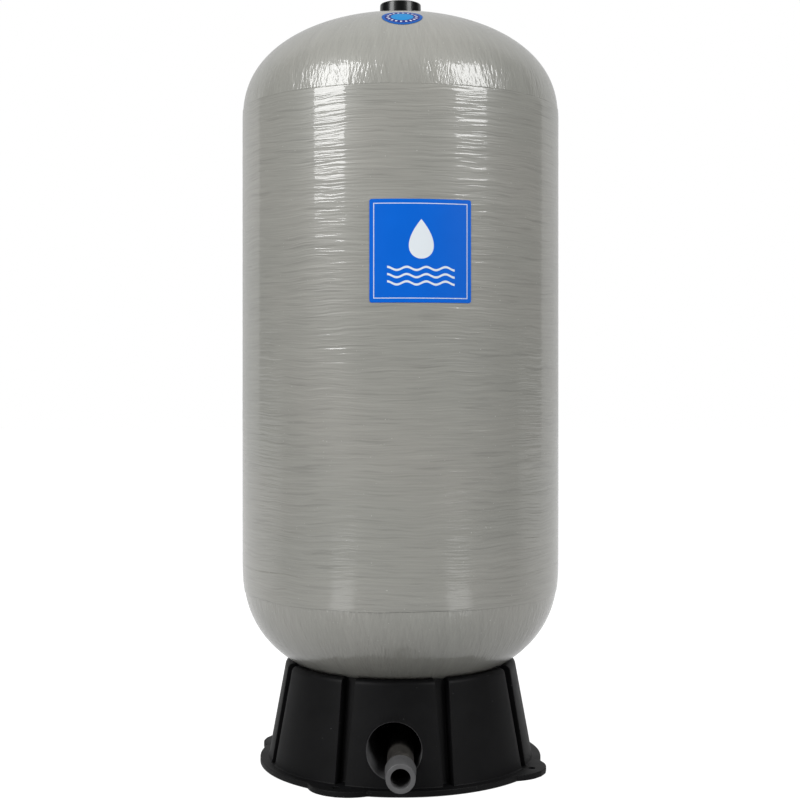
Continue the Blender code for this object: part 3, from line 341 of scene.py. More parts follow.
def shell_rows():
    """Rows (radius, height, depth of relief, waviness of the edge) of the shell's outside, top to bottom."""
    ends = []
    for dome, hoop_end, opening in ((UPPER_DOME, UPPER_HOOP_END, VALVE_OPENING),
                                    (LOWER_DOME, LOWER_HOOP_END, WATER_OPENING)):
        edge = dome_line_angle(dome, hoop_end)
        run = [(*dome_point(dome, edge * share, -HOOP_THICKNESS), 1, 0) for share in (0.3, 0.6, 0.85)]
        run += [(*dome_point(dome, edge * 0.985, -HOOP_THICKNESS), 0.6, 1),
                (*dome_point(dome, edge, -HOOP_THICKNESS * 0.8), 0.3, 1), (*dome_point(dome, edge), 0, 1)]
        domed = dome_run(dome, edge, dome_angle(dome, opening), 0, DOME_ROWS)
        ends.append(run + [(*point, 0, 0) for point in domed[1:]])
    count = round((UPPER_DOME[0] - LOWER_DOME[0]) / WINDING_ROW)
    heights = np.linspace(UPPER_DOME[0], LOWER_DOME[0], count)
    return list(reversed(ends[0])) + [(TANK_RADIUS, height, 1, 0) for height in heights] + ends[1]


def edge_wave(azimuth):
    slow = 0.0006 * np.sin(5 * azimuth + 0.7) + 0.0005 * np.sin(11 * azimuth)
    return slow + 0.0003 * np.sin(29 * azimuth + 2)


def make_shell(material):
    azimuth = np.arange(SHELL_SIDES) * tau / SHELL_SIDES
    points = []
    for radius, height, relief, waviness in shell_rows():
        heights = height + waviness * edge_wave(azimuth)
        radii = radius - relief * winding_relief(azimuth, heights)
        points += list(zip(radii * np.sin(azimuth), -radii * np.cos(azimuth), heights))
    inside = dome_run(LOWER_DOME, dome_angle(LOWER_DOME, WATER_OPENING), 0, SHELL_WALL, 8)
    inside += dome_run(UPPER_DOME, 0, dome_angle(UPPER_DOME, VALVE_OPENING), SHELL_WALL, 8)
    for radius, height in inside:
        points += list(zip(radius * np.sin(azimuth), -radius * np.cos(azimuth), np.full(SHELL_SIDES, height)))
    faces = grid_faces(len(points) // SHELL_SIDES, SHELL_SIDES, True, True)
    shell = add_piece("wound_shell", points, faces, material, 50)
    install(shell, "tank", "wound_resin", "composite_shell")


# Inner pieces


def make_liner(name, dome, opening, seam, material):
    last = dome_angle(dome, opening)
    outside = dome_run(dome, 0, last, LINER_INSET, 16)
    inside = dome_run(dome, last, 0, LINER_INSET + LINER_WALL, 16)
    rim = [(DOME_RADIUS - LINER_INSET - LINER_WALL, seam), (DOME_RADIUS - LINER_INSET, seam)]
    liner = turned(name + "_moulding", rim + outside + inside, material)
    install(liner, "tank", "liner_plastic", name)


def dress_nodes(material, *names):
    """Nodes whose shape is right get their finish only."""
    for name in names:
        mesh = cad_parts[name].data
        mesh.materials.clear()
        mesh.materials.append(material)


# Outlet


def elbow_ring(y, z, angle, radii):
    """A ring of the elbow square to its route in the plane x = 0."""
    around = np.arange(ROUND_SIDES) * tau / ROUND_SIDES
    radii = np.broadcast_to(radii, ROUND_SIDES)
    out = radii * np.sin(around)
    return list(zip(radii * np.cos(around), y + out * cos(angle), z - out * sin(angle)))


def bend_rings(radius):
    """Rings round the bend, from the upright leg to the outlet's run."""
    angles = [pi / 2 * step / 12 for step in range(13)]
    return [(ELBOW_BEND * (cos(angle) - 1), OUTLET_HEIGHT + ELBOW_BEND * (1 - sin(angle)), angle, radius)
            for angle in angles]


def make_elbow(material):
    collar = WATER_OPENING - 2 * SEAT_GAP
    hexagon = polygon_radii(6, HEX_CORNER_RADIUS, 1)
    chamfered = polygon_radii(6, HEX_CORNER_RADIUS, HEX_CORNER_RADIUS - 0.0016)
    leg = [(ELBOW_TOP, PIPE_RADIUS), (COLLAR_TOP, PIPE_RADIUS), (COLLAR_TOP, collar), (COLLAR_FOOT, collar),
           (COLLAR_FOOT, PIPE_RADIUS)]
    run = [(HEX_START - 0.0012, PIPE_RADIUS), (HEX_START, PIPE_RADIUS + 0.0006),
           (HEX_START, chamfered - 0.0002), (HEX_START + 0.0003, chamfered),
           (HEX_START + 0.0014, hexagon), (HEX_FRONT - 0.0012, hexagon),
           (HEX_FRONT - 0.0002, chamfered), (HEX_FRONT, chamfered - 0.0003), (HEX_FRONT, SOCKET_RADIUS),
           (HEX_FRONT - SOCKET_DEPTH, SOCKET_RADIUS), (HEX_FRONT - SOCKET_DEPTH, PIPE_BORE)]
    stations = [(0, height, 0, radii) for height, radii in leg] + bend_rings(PIPE_RADIUS)
    stations += [(-reach, OUTLET_HEIGHT, pi / 2, radii) for reach, radii in run]
    stations += list(reversed(bend_rings(PIPE_BORE))) + [(0, ELBOW_TOP, 0, PIPE_BORE)]
    points = [point for station in stations for point in elbow_ring(*station)]
    faces = grid_faces(len(stations), ROUND_SIDES, True, True)
    elbow = add_piece("elbow_moulding", points, faces, material)
    install(elbow, "tank", "dark_pipe_plastic", "outlet_elbow")


def make_spigot(material):
    rear = HEX_FRONT + SEAT_GAP
    front = rear + SPIGOT_LENGTH
    neck = SOCKET_RADIUS - SEAT_GAP
    neck_end = HEX_FRONT - SOCKET_DEPTH + SEAT_GAP
    profile = rounded([(PIPE_BORE, neck_end, 0.0004), (neck, neck_end, 0.0006), (neck, rear, 0),
                       (SPIGOT_REAR_RADIUS, rear, 0.0008), (SPIGOT_FRONT_RADIUS, front, 0.0014),
                       (PIPE_BORE, front, 0.0008)])
    spigot = turned("spigot_moulding", profile, material)
    spigot.location.z = OUTLET_HEIGHT
    spigot.rotation_euler.x = pi / 2
    install(spigot, "tank", "grey_pipe_plastic", "outlet_spigot")


# Water side fittings


def make_octagon_nut(name, node, corner_radius, inside, material):
    """An eight-sided nut; its inside profile runs from the top to the foot."""
    top = inside[0][1]
    foot = inside[-1][1]
    full = polygon_radii(8, corner_radius, 1)
    cut = polygon_radii(8, corner_radius, corner_radius - 0.0022)
    profile = [inside[-1], (cut - 0.0006, foot), (cut, foot + 0.0005), (full, foot + 0.0016),
               (full, top - 0.0016), (cut, top - 0.0005), (cut - 0.0006, top)] + inside[:-1]
    nut = turned(name, profile, material)
    install(nut, "tank", "fitting_plastic", node)


def make_water_boss(material):
    low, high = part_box("water_boss")
    flange_foot = high.z - BOSS_FLANGE
    bore = PIPE_RADIUS + SEAT_GAP
    neck = WATER_OPENING - SEAT_GAP
    seat = (bore + RING_SEAT[0], low.z + RING_SEAT[1])
    profile = rounded([(bore, seat[1], 0), (*seat, 0), (seat[0], low.z, 0), (neck, low.z, 0.0006),
                       (neck, flange_foot, 0.001), (WATER_FLANGE_RADIUS, flange_foot, 0.001),
                       (WATER_FLANGE_RADIUS, high.z, 0.0015), (bore, high.z, 0.001)])
    boss = turned("water_boss_moulding", profile, material)
    install(boss, "tank", "fitting_plastic", "water_boss")


def make_water_nuts(material):
    low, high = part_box("water_boss_nut")
    plain = [(WATER_OPENING, high.z), (WATER_OPENING, low.z)]
    make_octagon_nut("water_nut_moulding", "water_boss_nut", WATER_NUT_RADIUS, plain, material)
    low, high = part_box("union_nut")
    bore = PIPE_RADIUS + SEAT_GAP
    lip_top = low.z + UNION_LIP
    lipped = [(WATER_OPENING, high.z), (WATER_OPENING, lip_top), (bore, lip_top), (bore, low.z)]
    make_octagon_nut("union_nut_moulding", "union_nut", UNION_NUT_RADIUS, lipped, material)


def make_water_gasket(material):
    low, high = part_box("water_boss_gasket")
    corners = ((WATER_OPENING, low.z), (WATER_GASKET_RADIUS, low.z), (WATER_GASKET_RADIUS, high.z),
               (WATER_OPENING, high.z))
    gasket = turned("water_gasket_ring", rounded([(*corner, 0.0004) for corner in corners]), material)
    install(gasket, "tank", "black_rubber", "water_boss_gasket")


# Air side


def make_valve_boss(material):
    low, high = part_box("valve_boss")
    flange_top = low.z + BOSS_FLANGE
    neck = VALVE_OPENING - SEAT_GAP
    profile = rounded([(AIR_BORE_RADIUS, low.z, 0), (AIR_FLANGE_RADIUS, low.z, 0.0012),
                       (AIR_FLANGE_RADIUS, flange_top, 0.001), (neck, flange_top, 0.0008),
                       (neck, high.z, 0.0008), (POCKET_RADIUS, high.z, 0.0005),
                       (POCKET_RADIUS, POCKET_FLOOR, 0.0008), (AIR_BORE_RADIUS, POCKET_FLOOR, 0)])
    boss = turned("valve_boss_moulding", profile, material)
    install(boss, "tank", "fitting_plastic", "valve_boss")


def make_valve_nut(material):
    low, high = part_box("valve_boss_nut")
    middle = (low.z + high.z) / 2
    foot = middle - COVER_RING_GROOVE / 2
    head = middle + COVER_RING_GROOVE / 2
    groove = VALVE_NUT_RADIUS - 0.002
    knurl = VALVE_NUT_RADIUS - 0.0005 * (np.arange(ROUND_SIDES) % 4 == 0)
    profile = [(VALVE_OPENING, low.z), (VALVE_NUT_RADIUS - 0.0008, low.z), (VALVE_NUT_RADIUS, low.z + 0.0006),
               (VALVE_NUT_RADIUS, foot), (groove, foot), (groove, head), (knurl, head),
               (knurl, high.z - 0.0008), (VALVE_NUT_RADIUS - 0.001, high.z), (VALVE_OPENING + 0.0006, high.z),
               (VALVE_OPENING, high.z - 0.0006)]
    nut = turned("valve_nut_moulding", profile, material)
    install(nut, "tank", "fitting_plastic", "valve_boss_nut")


def make_cover_ring(material):
    low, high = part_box("cover_o_ring")
    middle = (high.x - COVER_RING_SECTION, (low.z + high.z) / 2)
    section = arc(middle, COVER_RING_SECTION, 0, tau, 12)[:-1]
    ring = turned("cover_ring_cord", section, material)
    install(ring, "tank", "black_rubber", "cover_o_ring")


def make_air_valve(material):
    """The valve's body: hexagon, threaded stem and the bore for its core."""
    low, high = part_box("air_valve_body")
    seat = POCKET_FLOOR + SEAT_GAP
    core_seat = POCKET_FLOOR + 0.0008
    hexagon = polygon_radii(6, STEM_HEX_RADIUS, 1, STEM_SIDES, 0.0002)
    cut = polygon_radii(6, STEM_HEX_RADIUS, 0.0069, STEM_SIDES, 0.0002)
    profile = [(0.0013, low.z), (0.0043, low.z), (0.00485, low.z + 0.0006), (0.00485, seat), (cut, seat),
               (hexagon, seat + 0.0004), (hexagon, seat + 0.0040), (cut, seat + 0.0045),
               (0.0042, seat + 0.0045)]
    for height in np.arange(seat + 0.0050, high.z - 0.0012, 0.0008):
        profile += [(0.0036, height), (0.00385, height + 0.0004)]
    profile += [(0.0037, high.z - 0.0003), (0.0034, high.z), (0.0026, high.z), (0.0026, core_seat),
                (0.0013, core_seat)]
    body = turned("air_valve_turning", profile, material, STEM_SIDES)
    install(body, "tank", "valve_brass", "air_valve_body")


def make_spring(material):
    """The spring is a piece of its own, because it shortens as the pin is pressed."""
    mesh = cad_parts["valve_spring"].data.copy()
    coil = placed("spring_coil", mesh)
    mesh.materials.clear()
    mesh.materials.append(material)
    install(coil, "tank", "valve_steel", "valve_spring")
    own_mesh(coil)


def make_dust_cap(material):
    low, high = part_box("valve_dust_cap")
    around = np.arange(ROUND_SIDES) * tau / ROUND_SIDES
    knurl = 0.0052 - 0.00022 * (0.5 + 0.5 * np.cos(24 * around)) ** 2
    bore = 0.00415
    ceiling = high.z - 0.0022
    profile = [(0, ceiling), (bore, ceiling), (bore, low.z), (0.0049, low.z), (0.0052, low.z + 0.0003),
               (0.0052, low.z + 0.0016), (knurl, low.z + 0.002), (knurl, high.z - 0.0016),
               (0.0051, high.z - 0.0012), (0.0049, high.z - 0.0005), (0.0045, high.z - 0.0001),
               (0.004, high.z), (0, high.z)]
    cap = turned("dust_cap_moulding", profile, material, closed=False)
    install(cap, "dust_cap", "fitting_plastic", "valve_dust_cap")


def make_cover(material):
    low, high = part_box("air_valve_cover")
    radius = high.x
    bore = radius - 0.0024
    lead = 0.0008
    profile = rounded([(0, high.z - 0.0024, 0), (bore, high.z - 0.0024, 0.001), (bore, low.z + lead, 0.0004),
                       (bore + 0.0008, low.z, 0), (radius, low.z, 0.0006), (radius - 0.0005, high.z, 0.0026),
                       (0, high.z, 0)], 8)
    cover = turned("cover_moulding", profile, material, 128, closed=False)
    install(cover, "cover", "gloss_black", "air_valve_cover")


# Base


def base_radius(height):
    return BASE_FOOT_RADIUS - BASE_TAPER * (height - FLANGE_THICKNESS)


def dish_height(radius):
    return dome_height(LOWER_DOME, radius) - DISH_GAP


def half_angles(height, inset):
    """Half the angle of a groove at its edges and at its floor."""
    share = (height - FLANGE_THICKNESS) / (BASE_HEIGHT - FLANGE_THICKNESS)
    width = GROOVE_FOOT_WIDTH + (GROOVE_TOP_WIDTH - GROOVE_FOOT_WIDTH) * share
    radius = base_radius(height) - inset
    edge_half = width / 2 + inset
    floor_half = edge_half - GROOVE_DEPTH * tan(GROOVE_DRAFT)
    edge = asin(edge_half / radius)
    return edge, min(asin(floor_half / (radius - GROOVE_DEPTH)), edge - LEAST_DRAFT_ANGLE)


def wall_row(height, inset, groove_height=None):
    groove_height = height if groove_height is None else groove_height
    panel = (base_radius(height) - inset, height)
    groove = (base_radius(groove_height) - inset - GROOVE_DEPTH, groove_height)
    return (panel, groove, half_angles(height, inset), None)


def flat_row(radius, height, lug_radius):
    return ((radius, height), (radius, height), half_angles(FLANGE_THICKNESS, 0), lug_radius)


def flange_rows():
    start = FLANGE_RADIUS - 0.0006
    rows = [flat_row(start, 0, LUG_RADIUS - 0.0006), flat_row(FLANGE_RADIUS, 0.0006, LUG_RADIUS)]
    centre = (FLANGE_RADIUS - FLANGE_ROUNDING, FLANGE_THICKNESS - FLANGE_ROUNDING)
    for radius, height in arc(centre, FLANGE_ROUNDING, 0, pi / 2, 4):
        rows.append(flat_row(radius, height, LUG_RADIUS - FLANGE_RADIUS + radius))
    return rows


def foot_rows():
    """The small fillet between the flange and the wall."""
    rows = []
    centre = (BASE_FOOT_RADIUS + FOOT_FILLET, FLANGE_THICKNESS + FOOT_FILLET)
    for radius, height in arc(centre, FOOT_FILLET, -pi / 2, -pi, 4):
        radius = max(radius, base_radius(height))
        rows.append(((radius, height), (radius - GROOVE_DEPTH, height), half_angles(height, 0), None))
    return rows


def top_fillet_rows():
    """The panels' rounded top edge, and the groove floors that run up behind it."""
    lean = atan(BASE_TAPER)
    centre_height = BASE_HEIGHT - TOP_FILLET
    start_height = centre_height + TOP_FILLET * sin(lean)
    centre_radius = base_radius(start_height) - TOP_FILLET * cos(lean)
    groove_top = dish_height(base_radius(BASE_HEIGHT) - GROOVE_DEPTH)
    rows = []
    for step, point in enumerate(arc((centre_radius, centre_height), TOP_FILLET, lean, pi / 2, 8)):
        groove_height = start_height + (groove_top - start_height) * step / 8
        rows.append((point, (base_radius(groove_height) - GROOVE_DEPTH, groove_height),
                     half_angles(start_height, 0), None))
    return rows


def base_rows():
    """The section of the base, from the flange's foot up the outside, over the dish and down inside."""
    rim = dome_point(LOWER_DOME, dome_line_angle(LOWER_DOME, BASE_HEIGHT + DISH_GAP))[0]
    edge = half_angles(BASE_HEIGHT - TOP_FILLET, 0)
    inner_edge = half_angles(BASE_HEIGHT - TOP_FILLET, BASE_WALL)
    groove_rim = base_radius(BASE_HEIGHT) - GROOVE_DEPTH - BASE_WALL
    under_rim = dish_height(rim - BASE_WALL) - BASE_WALL
    rows = flange_rows() + foot_rows()
    rows += [wall_row(height, 0) for height in np.linspace(0.016, BASE_HEIGHT - TOP_FILLET - 0.002, 9)]
    rows += top_fillet_rows()
    rows.append(((rim, BASE_HEIGHT), (groove_rim, dish_height(groove_rim)), edge, None))
    for share in (0.35, 0.7, 1):
        panel = rim + (groove_rim - 0.001 - rim) * share
        groove = groove_rim - 0.001 * share
        rows.append(((panel, dish_height(panel)), (groove, dish_height(groove)), edge, None))
    dish_start = groove_rim - BASE_WALL - 0.002
    dish = [(radius, dish_height(radius)) for radius in np.linspace(dish_start, DISH_RADIUS, 5)]
    rows += [(point, point, inner_edge, None) for point in dish]
    under = [(radius, height - BASE_WALL) for radius, height in reversed(dish)]
    rows += [(point, point, inner_edge, None) for point in under]
    under_groove = (groove_rim - BASE_WALL, dish_height(groove_rim - BASE_WALL) - 1.6 * BASE_WALL)
    rows.append(((rim - BASE_WALL, under_rim), under_groove, inner_edge, None))
    rows.append(wall_row(under_rim, BASE_WALL, dish_height(groove_rim) - 2 * BASE_WALL))
    rows += [wall_row(height, BASE_WALL) for height in (0.09, 0.03, 0)]
    return rows


def lug_reach(angle, flange, lug):
    """A lug's edge: one round arc that meets the flange's edge at both ends."""
    chord = flange * sin(LUG_HALF_ANGLE)
    rise = lug - flange * cos(LUG_HALF_ANGLE)
    arc_radius = (chord ** 2 + rise ** 2) / (2 * rise)
    centre = lug - arc_radius
    return centre * cos(angle) + sqrt(arc_radius ** 2 - (centre * sin(angle)) ** 2)


def half_sector(row, lugged):
    """Points of one row from a groove's middle to the middle of the panel, with the front towards +Y."""
    (radius, height), (groove_radius, groove_height), (edge, floor), lug_radius = row

    def reach(angle):
        if lug_radius is None or not lugged or angle >= LUG_HALF_ANGLE:
            return radius
        return lug_reach(angle, radius, lug_radius)

    def at(r, angle, z):
        return np.array((r * sin(angle), r * cos(angle), z))

    floor_radius = reach(floor) if groove_radius == radius else groove_radius
    floor_corner = at(floor_radius, floor, groove_height)
    edge_corner = at(reach(edge), edge, height)
    wall = edge_corner - floor_corner
    length = np.linalg.norm(wall)
    wall = wall / length
    fillet = min(GROOVE_FILLET, 0.4 * length, 0.4 * floor * floor_radius)
    rounding = min(GROOVE_EDGE, 0.4 * length)
    flat = floor - fillet / floor_radius
    points = [at(floor_radius, flat * share, groove_height) for share in (0, 1 / 3, 2 / 3)]
    foot = floor_corner + wall * fillet
    head = edge_corner - wall * rounding
    points += bent(at(floor_radius, flat, groove_height), floor_corner, foot, (0, 1 / 3, 2 / 3, 1))
    points += [foot + (head - foot) * share for share in (1 / 3, 2 / 3)]
    start = edge + rounding / radius
    points += bent(head, edge_corner, at(reach(start), start, height), (0, 1 / 3, 2 / 3, 1))
    points += [at(reach(radians(degrees)), radians(degrees), height) for degrees in PANEL_ANGLES]
    return points


def base_ring(row):
    """All points of one row round the base; grooves with a lug take turns with plain ones."""
    ring = []
    pitch = tau / GROOVE_COUNT
    halves = {lugged: half_sector(row, lugged) for lugged in (True, False)}
    for groove in range(GROOVE_COUNT):
        middle = (groove - 0.5) * pitch
        half = halves[groove % 2 == 0]
        for side in (-1, 1):
            points = list(reversed(half))[1:-1] if side < 0 else half
            for x, y, z in points:
                azimuth = middle + side * atan2(x, y)
                ring.append(on_azimuth(hypot(x, y), azimuth, z))
    return ring


def make_rib(number):
    """The points and faces of an upright plate under the dish."""
    middle = BASE_WALL / 2
    wall_top = BASE_HEIGHT - 3 * BASE_WALL
    inside = GROOVE_DEPTH + middle
    dish_end = base_radius(wall_top) - inside - BASE_WALL
    outline = [(RIB_END_RADIUS, RIB_FOOT), (base_radius(RIB_FOOT) - inside, RIB_FOOT),
               (base_radius(wall_top) - inside, wall_top)]
    outline += [(radius, dish_height(radius) - middle) for radius in np.linspace(dish_end, RIB_END_RADIUS, 6)]
    azimuth = (number - 0.5) * tau / GROOVE_COUNT
    points = []
    for side in (-1, 1):
        for radius, height in outline:
            x, y, z = on_azimuth(radius, azimuth, height)
            points.append((x + side * RIB_THICKNESS / 2 * cos(azimuth),
                           y + side * RIB_THICKNESS / 2 * sin(azimuth), z))
    count = len(outline)
    faces = [tuple(range(count)), tuple(reversed(range(count, 2 * count)))]
    faces += [(i, (i + 1) % count, (i + 1) % count + count, i + count) for i in range(count)]
    return points, faces


def closed_faces(rows, sides):
    """Faces of a round body of rings with both ends closed."""
    last = (rows - 1) * sides
    caps = [tuple(range(sides)), tuple(reversed(range(last, last + sides)))]
    return grid_faces(rows, sides, False, True) + caps


def tube(stations, capped=True, sides=ROUND_SIDES):
    """Points and faces of a round body from rings (radius, y or None to follow the wall, offset)."""
    points = []
    around = np.arange(sides) * tau / sides
    for radius, y, offset in stations:
        x = radius * np.cos(around)
        z = TUNNEL_HEIGHT + radius * np.sin(around)
        wall = BASE_FOOT_RADIUS - BASE_TAPER * (z - FLANGE_THICKNESS) + offset
        points += list(zip(x, -np.sqrt(wall ** 2 - x ** 2) if y is None else np.full(sides, y), z))
    rows = len(stations)
    return points, closed_faces(rows, sides) if capped else grid_faces(rows, sides, True, True)


def joined(name, parts):
    points = []
    faces = []
    for part_points, part_faces in parts:
        first = len(points)
        points += part_points
        faces += [tuple(corner + first for corner in face) for face in part_faces]
    piece = add_piece(name, points, faces, None)
    piece.location = (0, 0, 0)
    return piece


def post(place, profile, sides=32):
    """Points and faces of an upright round cutter with a (radius, height) profile."""
    points = []
    around = np.arange(sides) * tau / sides
    for radius, height in profile:
        x = place[0] + radius * np.cos(around)
        y = place[1] + radius * np.sin(around)
        points += list(zip(x, y, np.full(sides, height)))
    return points, closed_faces(len(profile), sides)


def make_tunnel():
    """The tunnel's wall, with its roof cut away over the pipe's upright leg."""
    ring = [(TUNNEL_MOUTH_RADIUS + TUNNEL_WALL, None, -BASE_WALL / 2),
            (TUNNEL_END_RADIUS + TUNNEL_WALL, TUNNEL_OVERRUN, 0),
            (TUNNEL_END_RADIUS - TUNNEL_WALL, TUNNEL_OVERRUN, 0),
            (TUNNEL_MOUTH_RADIUS - TUNNEL_WALL, None, -BASE_WALL / 2)]
    tunnel = joined("base_tunnel", [tube(ring, False)])
    cut = [(ROOF_CUT_RADIUS, ROOF_CUT_HEIGHT), (ROOF_CUT_RADIUS, ROOF_CUT_TOP)]
    roof = joined("base_roof", [post((0, 0), cut, ROUND_SIDES)])
    applied(tunnel, [(roof, 'DIFFERENCE')])
    return tunnel


def tunnel_bore():
    """The cutter for the tunnel, with a rounded mouth."""
    flare = TUNNEL_MOUTH_RADIUS + TUNNEL_ROUNDING
    stations = [(flare, -LUG_RADIUS, 0), (flare, None, 0)]
    for share in (0.25, 0.5, 0.75, 1):
        depth = TUNNEL_ROUNDING * share
        away = sqrt(TUNNEL_ROUNDING ** 2 - (TUNNEL_ROUNDING - depth) ** 2)
        stations.append((flare - away, None, -depth))
    stations.append((TUNNEL_END_RADIUS, TUNNEL_OVERRUN + 0.01, 0))
    return joined("base_bore", [tube(stations)])


def bolt_holes():
    """The cutter for the holes in the four lugs, with a small chamfer on top."""
    chamfer = 0.0006
    profile = [(LUG_HOLE_RADIUS, -0.01), (LUG_HOLE_RADIUS, FLANGE_THICKNESS - chamfer),
               (LUG_HOLE_RADIUS + 2 * chamfer, FLANGE_THICKNESS + chamfer)]
    places = [on_azimuth(LUG_HOLE_PLACE, (number - 0.5) * tau / GROOVE_COUNT, 0)
              for number in range(0, GROOVE_COUNT, 2)]
    return joined("base_holes", [post(place, profile) for place in places])


def make_base(material):
    rings = [base_ring(row) for row in base_rows()]
    faces = grid_faces(len(rings), len(rings[0]), True, True)
    base = add_piece("base_moulding", [point for ring in rings for point in ring], faces, material)
    base.location = (0, 0, 0)
    ribs = joined("base_ribs", [make_rib(number) for number in range(GROOVE_COUNT)])
    applied(base, [(bolt_holes(), 'DIFFERENCE'), (ribs, 'UNION'), (make_tunnel(), 'UNION'),
                   (tunnel_bore(), 'DIFFERENCE')])
    base.location = (0, AXIS, 0)
    base.rotation_euler = (0, 0, BASE_TURN)
    install(base, "tank", "base_plastic", "base")


# Labels


def map_print(label, print_place):
    """Gives a label the map that its print is drawn on."""
    uv = label.data.uv_layers.new(name="print").data
    for loop in label.data.loops:
        uv[loop.index].uv = print_place(label.data.vertices[loop.vertex_index].co)


def make_front_label(material):
    """A thin sheet with round corners, wrapped on the shell; its map runs from 0 to 1 both ways."""
    width, height, corner = FRONT_LABEL
    turn = np.linspace(0, pi / 2, 7)
    top = height / 2 - corner + corner * np.sin(turn)
    levels = np.concatenate((-top[::-1], np.linspace(-top[0], top[0], 20)[1:-1], top))
    columns, rows = 49, len(levels)
    points = []
    for sheet in (0, 1):
        radius = TANK_RADIUS + SEAT_GAP / 2 + sheet * LABEL_THICKNESS
        for level in levels:
            cut = max(abs(level) - (height / 2 - corner), 0)
            half = width / 2 - corner + sqrt(max(corner ** 2 - cut ** 2, 0))
            for across in np.linspace(-1, 1, columns):
                azimuth = FRONT_LABEL_AZIMUTH + across * half / TANK_RADIUS
                points.append(on_azimuth(radius, azimuth, FRONT_LABEL_MIDDLE + level))
    count = rows * columns
    front = grid_faces(rows, columns, False, False)
    faces = front + [tuple(corner + count for corner in reversed(face)) for face in front]
    rim = [*range(columns), *range(2 * columns - 1, count, columns),
           *range(count - 2, count - columns - 1, -1), *range(count - 2 * columns, 0, -columns)]
    faces += [(a, b, b + count, a + count) for a, b in zip(rim, rim[1:] + rim[:1])]
    label = add_piece("front_label_print", points, faces, material)

    def print_place(point):
        across = (atan2(point.x, -point.y) - FRONT_LABEL_AZIMUTH) * TANK_RADIUS / width
        return (across + 0.5, (point.z - FRONT_LABEL_MIDDLE) / height + 0.5)

    map_print(label, print_place)
    install(label, "tank", "blue_label", "front_label")


def make_top_label(material):
    """A disc laid on the upper dome; its map has the disc's middle at (0, 0) and its edge at 1."""
    here = dome_angle(UPPER_DOME, TOP_LABEL_PLACE)
    low = dome_point(UPPER_DOME, here - 0.05)
    high = dome_point(UPPER_DOME, here + 0.05)
    slope = atan2(high[1] - low[1], low[0] - high[0])
    sides = 64
    shares = (0, 0.2, 0.4, 0.6, 0.8, 0.97, 1)
    stations = [(share, SEAT_GAP + LABEL_THICKNESS * (1 if share < 1 else 0.7)) for share in shares]
    stations += [(share, SEAT_GAP) for share in reversed(shares)]
    points = []
    for share, lift in stations:
        for side in range(sides):
            around = tau * side / sides
            across = TOP_LABEL_RADIUS * share * cos(around)
            radius = TOP_LABEL_PLACE - TOP_LABEL_RADIUS * share * sin(around) * cos(slope)
            place = dome_point(UPPER_DOME, dome_angle(UPPER_DOME, radius), -lift)
            points.append(on_azimuth(place[0], TOP_LABEL_AZIMUTH + across / radius, place[1]))
    faces = grid_faces(len(stations), sides, False, True)
    label = add_piece("top_label_print", points, faces, material)
    radius, height = dome_point(UPPER_DOME, here)
    centre = Vector(on_azimuth(radius, TOP_LABEL_AZIMUTH, height))

    def print_place(point):
        offset = point - centre
        across = offset.x * cos(TOP_LABEL_AZIMUTH) + offset.y * sin(TOP_LABEL_AZIMUTH)
        along = copysign(sqrt(max(offset.length_squared - across ** 2, 0)), offset.z)
        return (across / TOP_LABEL_RADIUS, along / TOP_LABEL_RADIUS)

    map_print(label, print_place)
    install(label, "tank", "round_label_blue", "top_label")


# Materials


def linear(value):
    """A 0 to 255 colour value as the linear number that a shader takes."""
    part = value / 255
    return part / 12.92 if part <= 0.04045 else ((part + 0.055) / 1.055) ** 2.4


def colour(red, green, blue):
    return (linear(red), linear(green), linear(blue), 1)


class Value:
    """A number inside a shader, which takes part in sums."""

    def __init__(self, nodes, socket):
        self.nodes = nodes
        self.socket = socket

    def __add__(self, other):
        return self.nodes.math("ADD", self, other)

    def __sub__(self, other):
        return self.nodes.math("SUBTRACT", self, other)

    def __rsub__(self, other):
        return self.nodes.math("SUBTRACT", other, self)

    def __mul__(self, other):
        return self.nodes.math("MULTIPLY", self, other)

    def __truediv__(self, other):
        return self.nodes.math("DIVIDE", self, other)

    def __abs__(self):
        return self.nodes.math("ABSOLUTE", self)


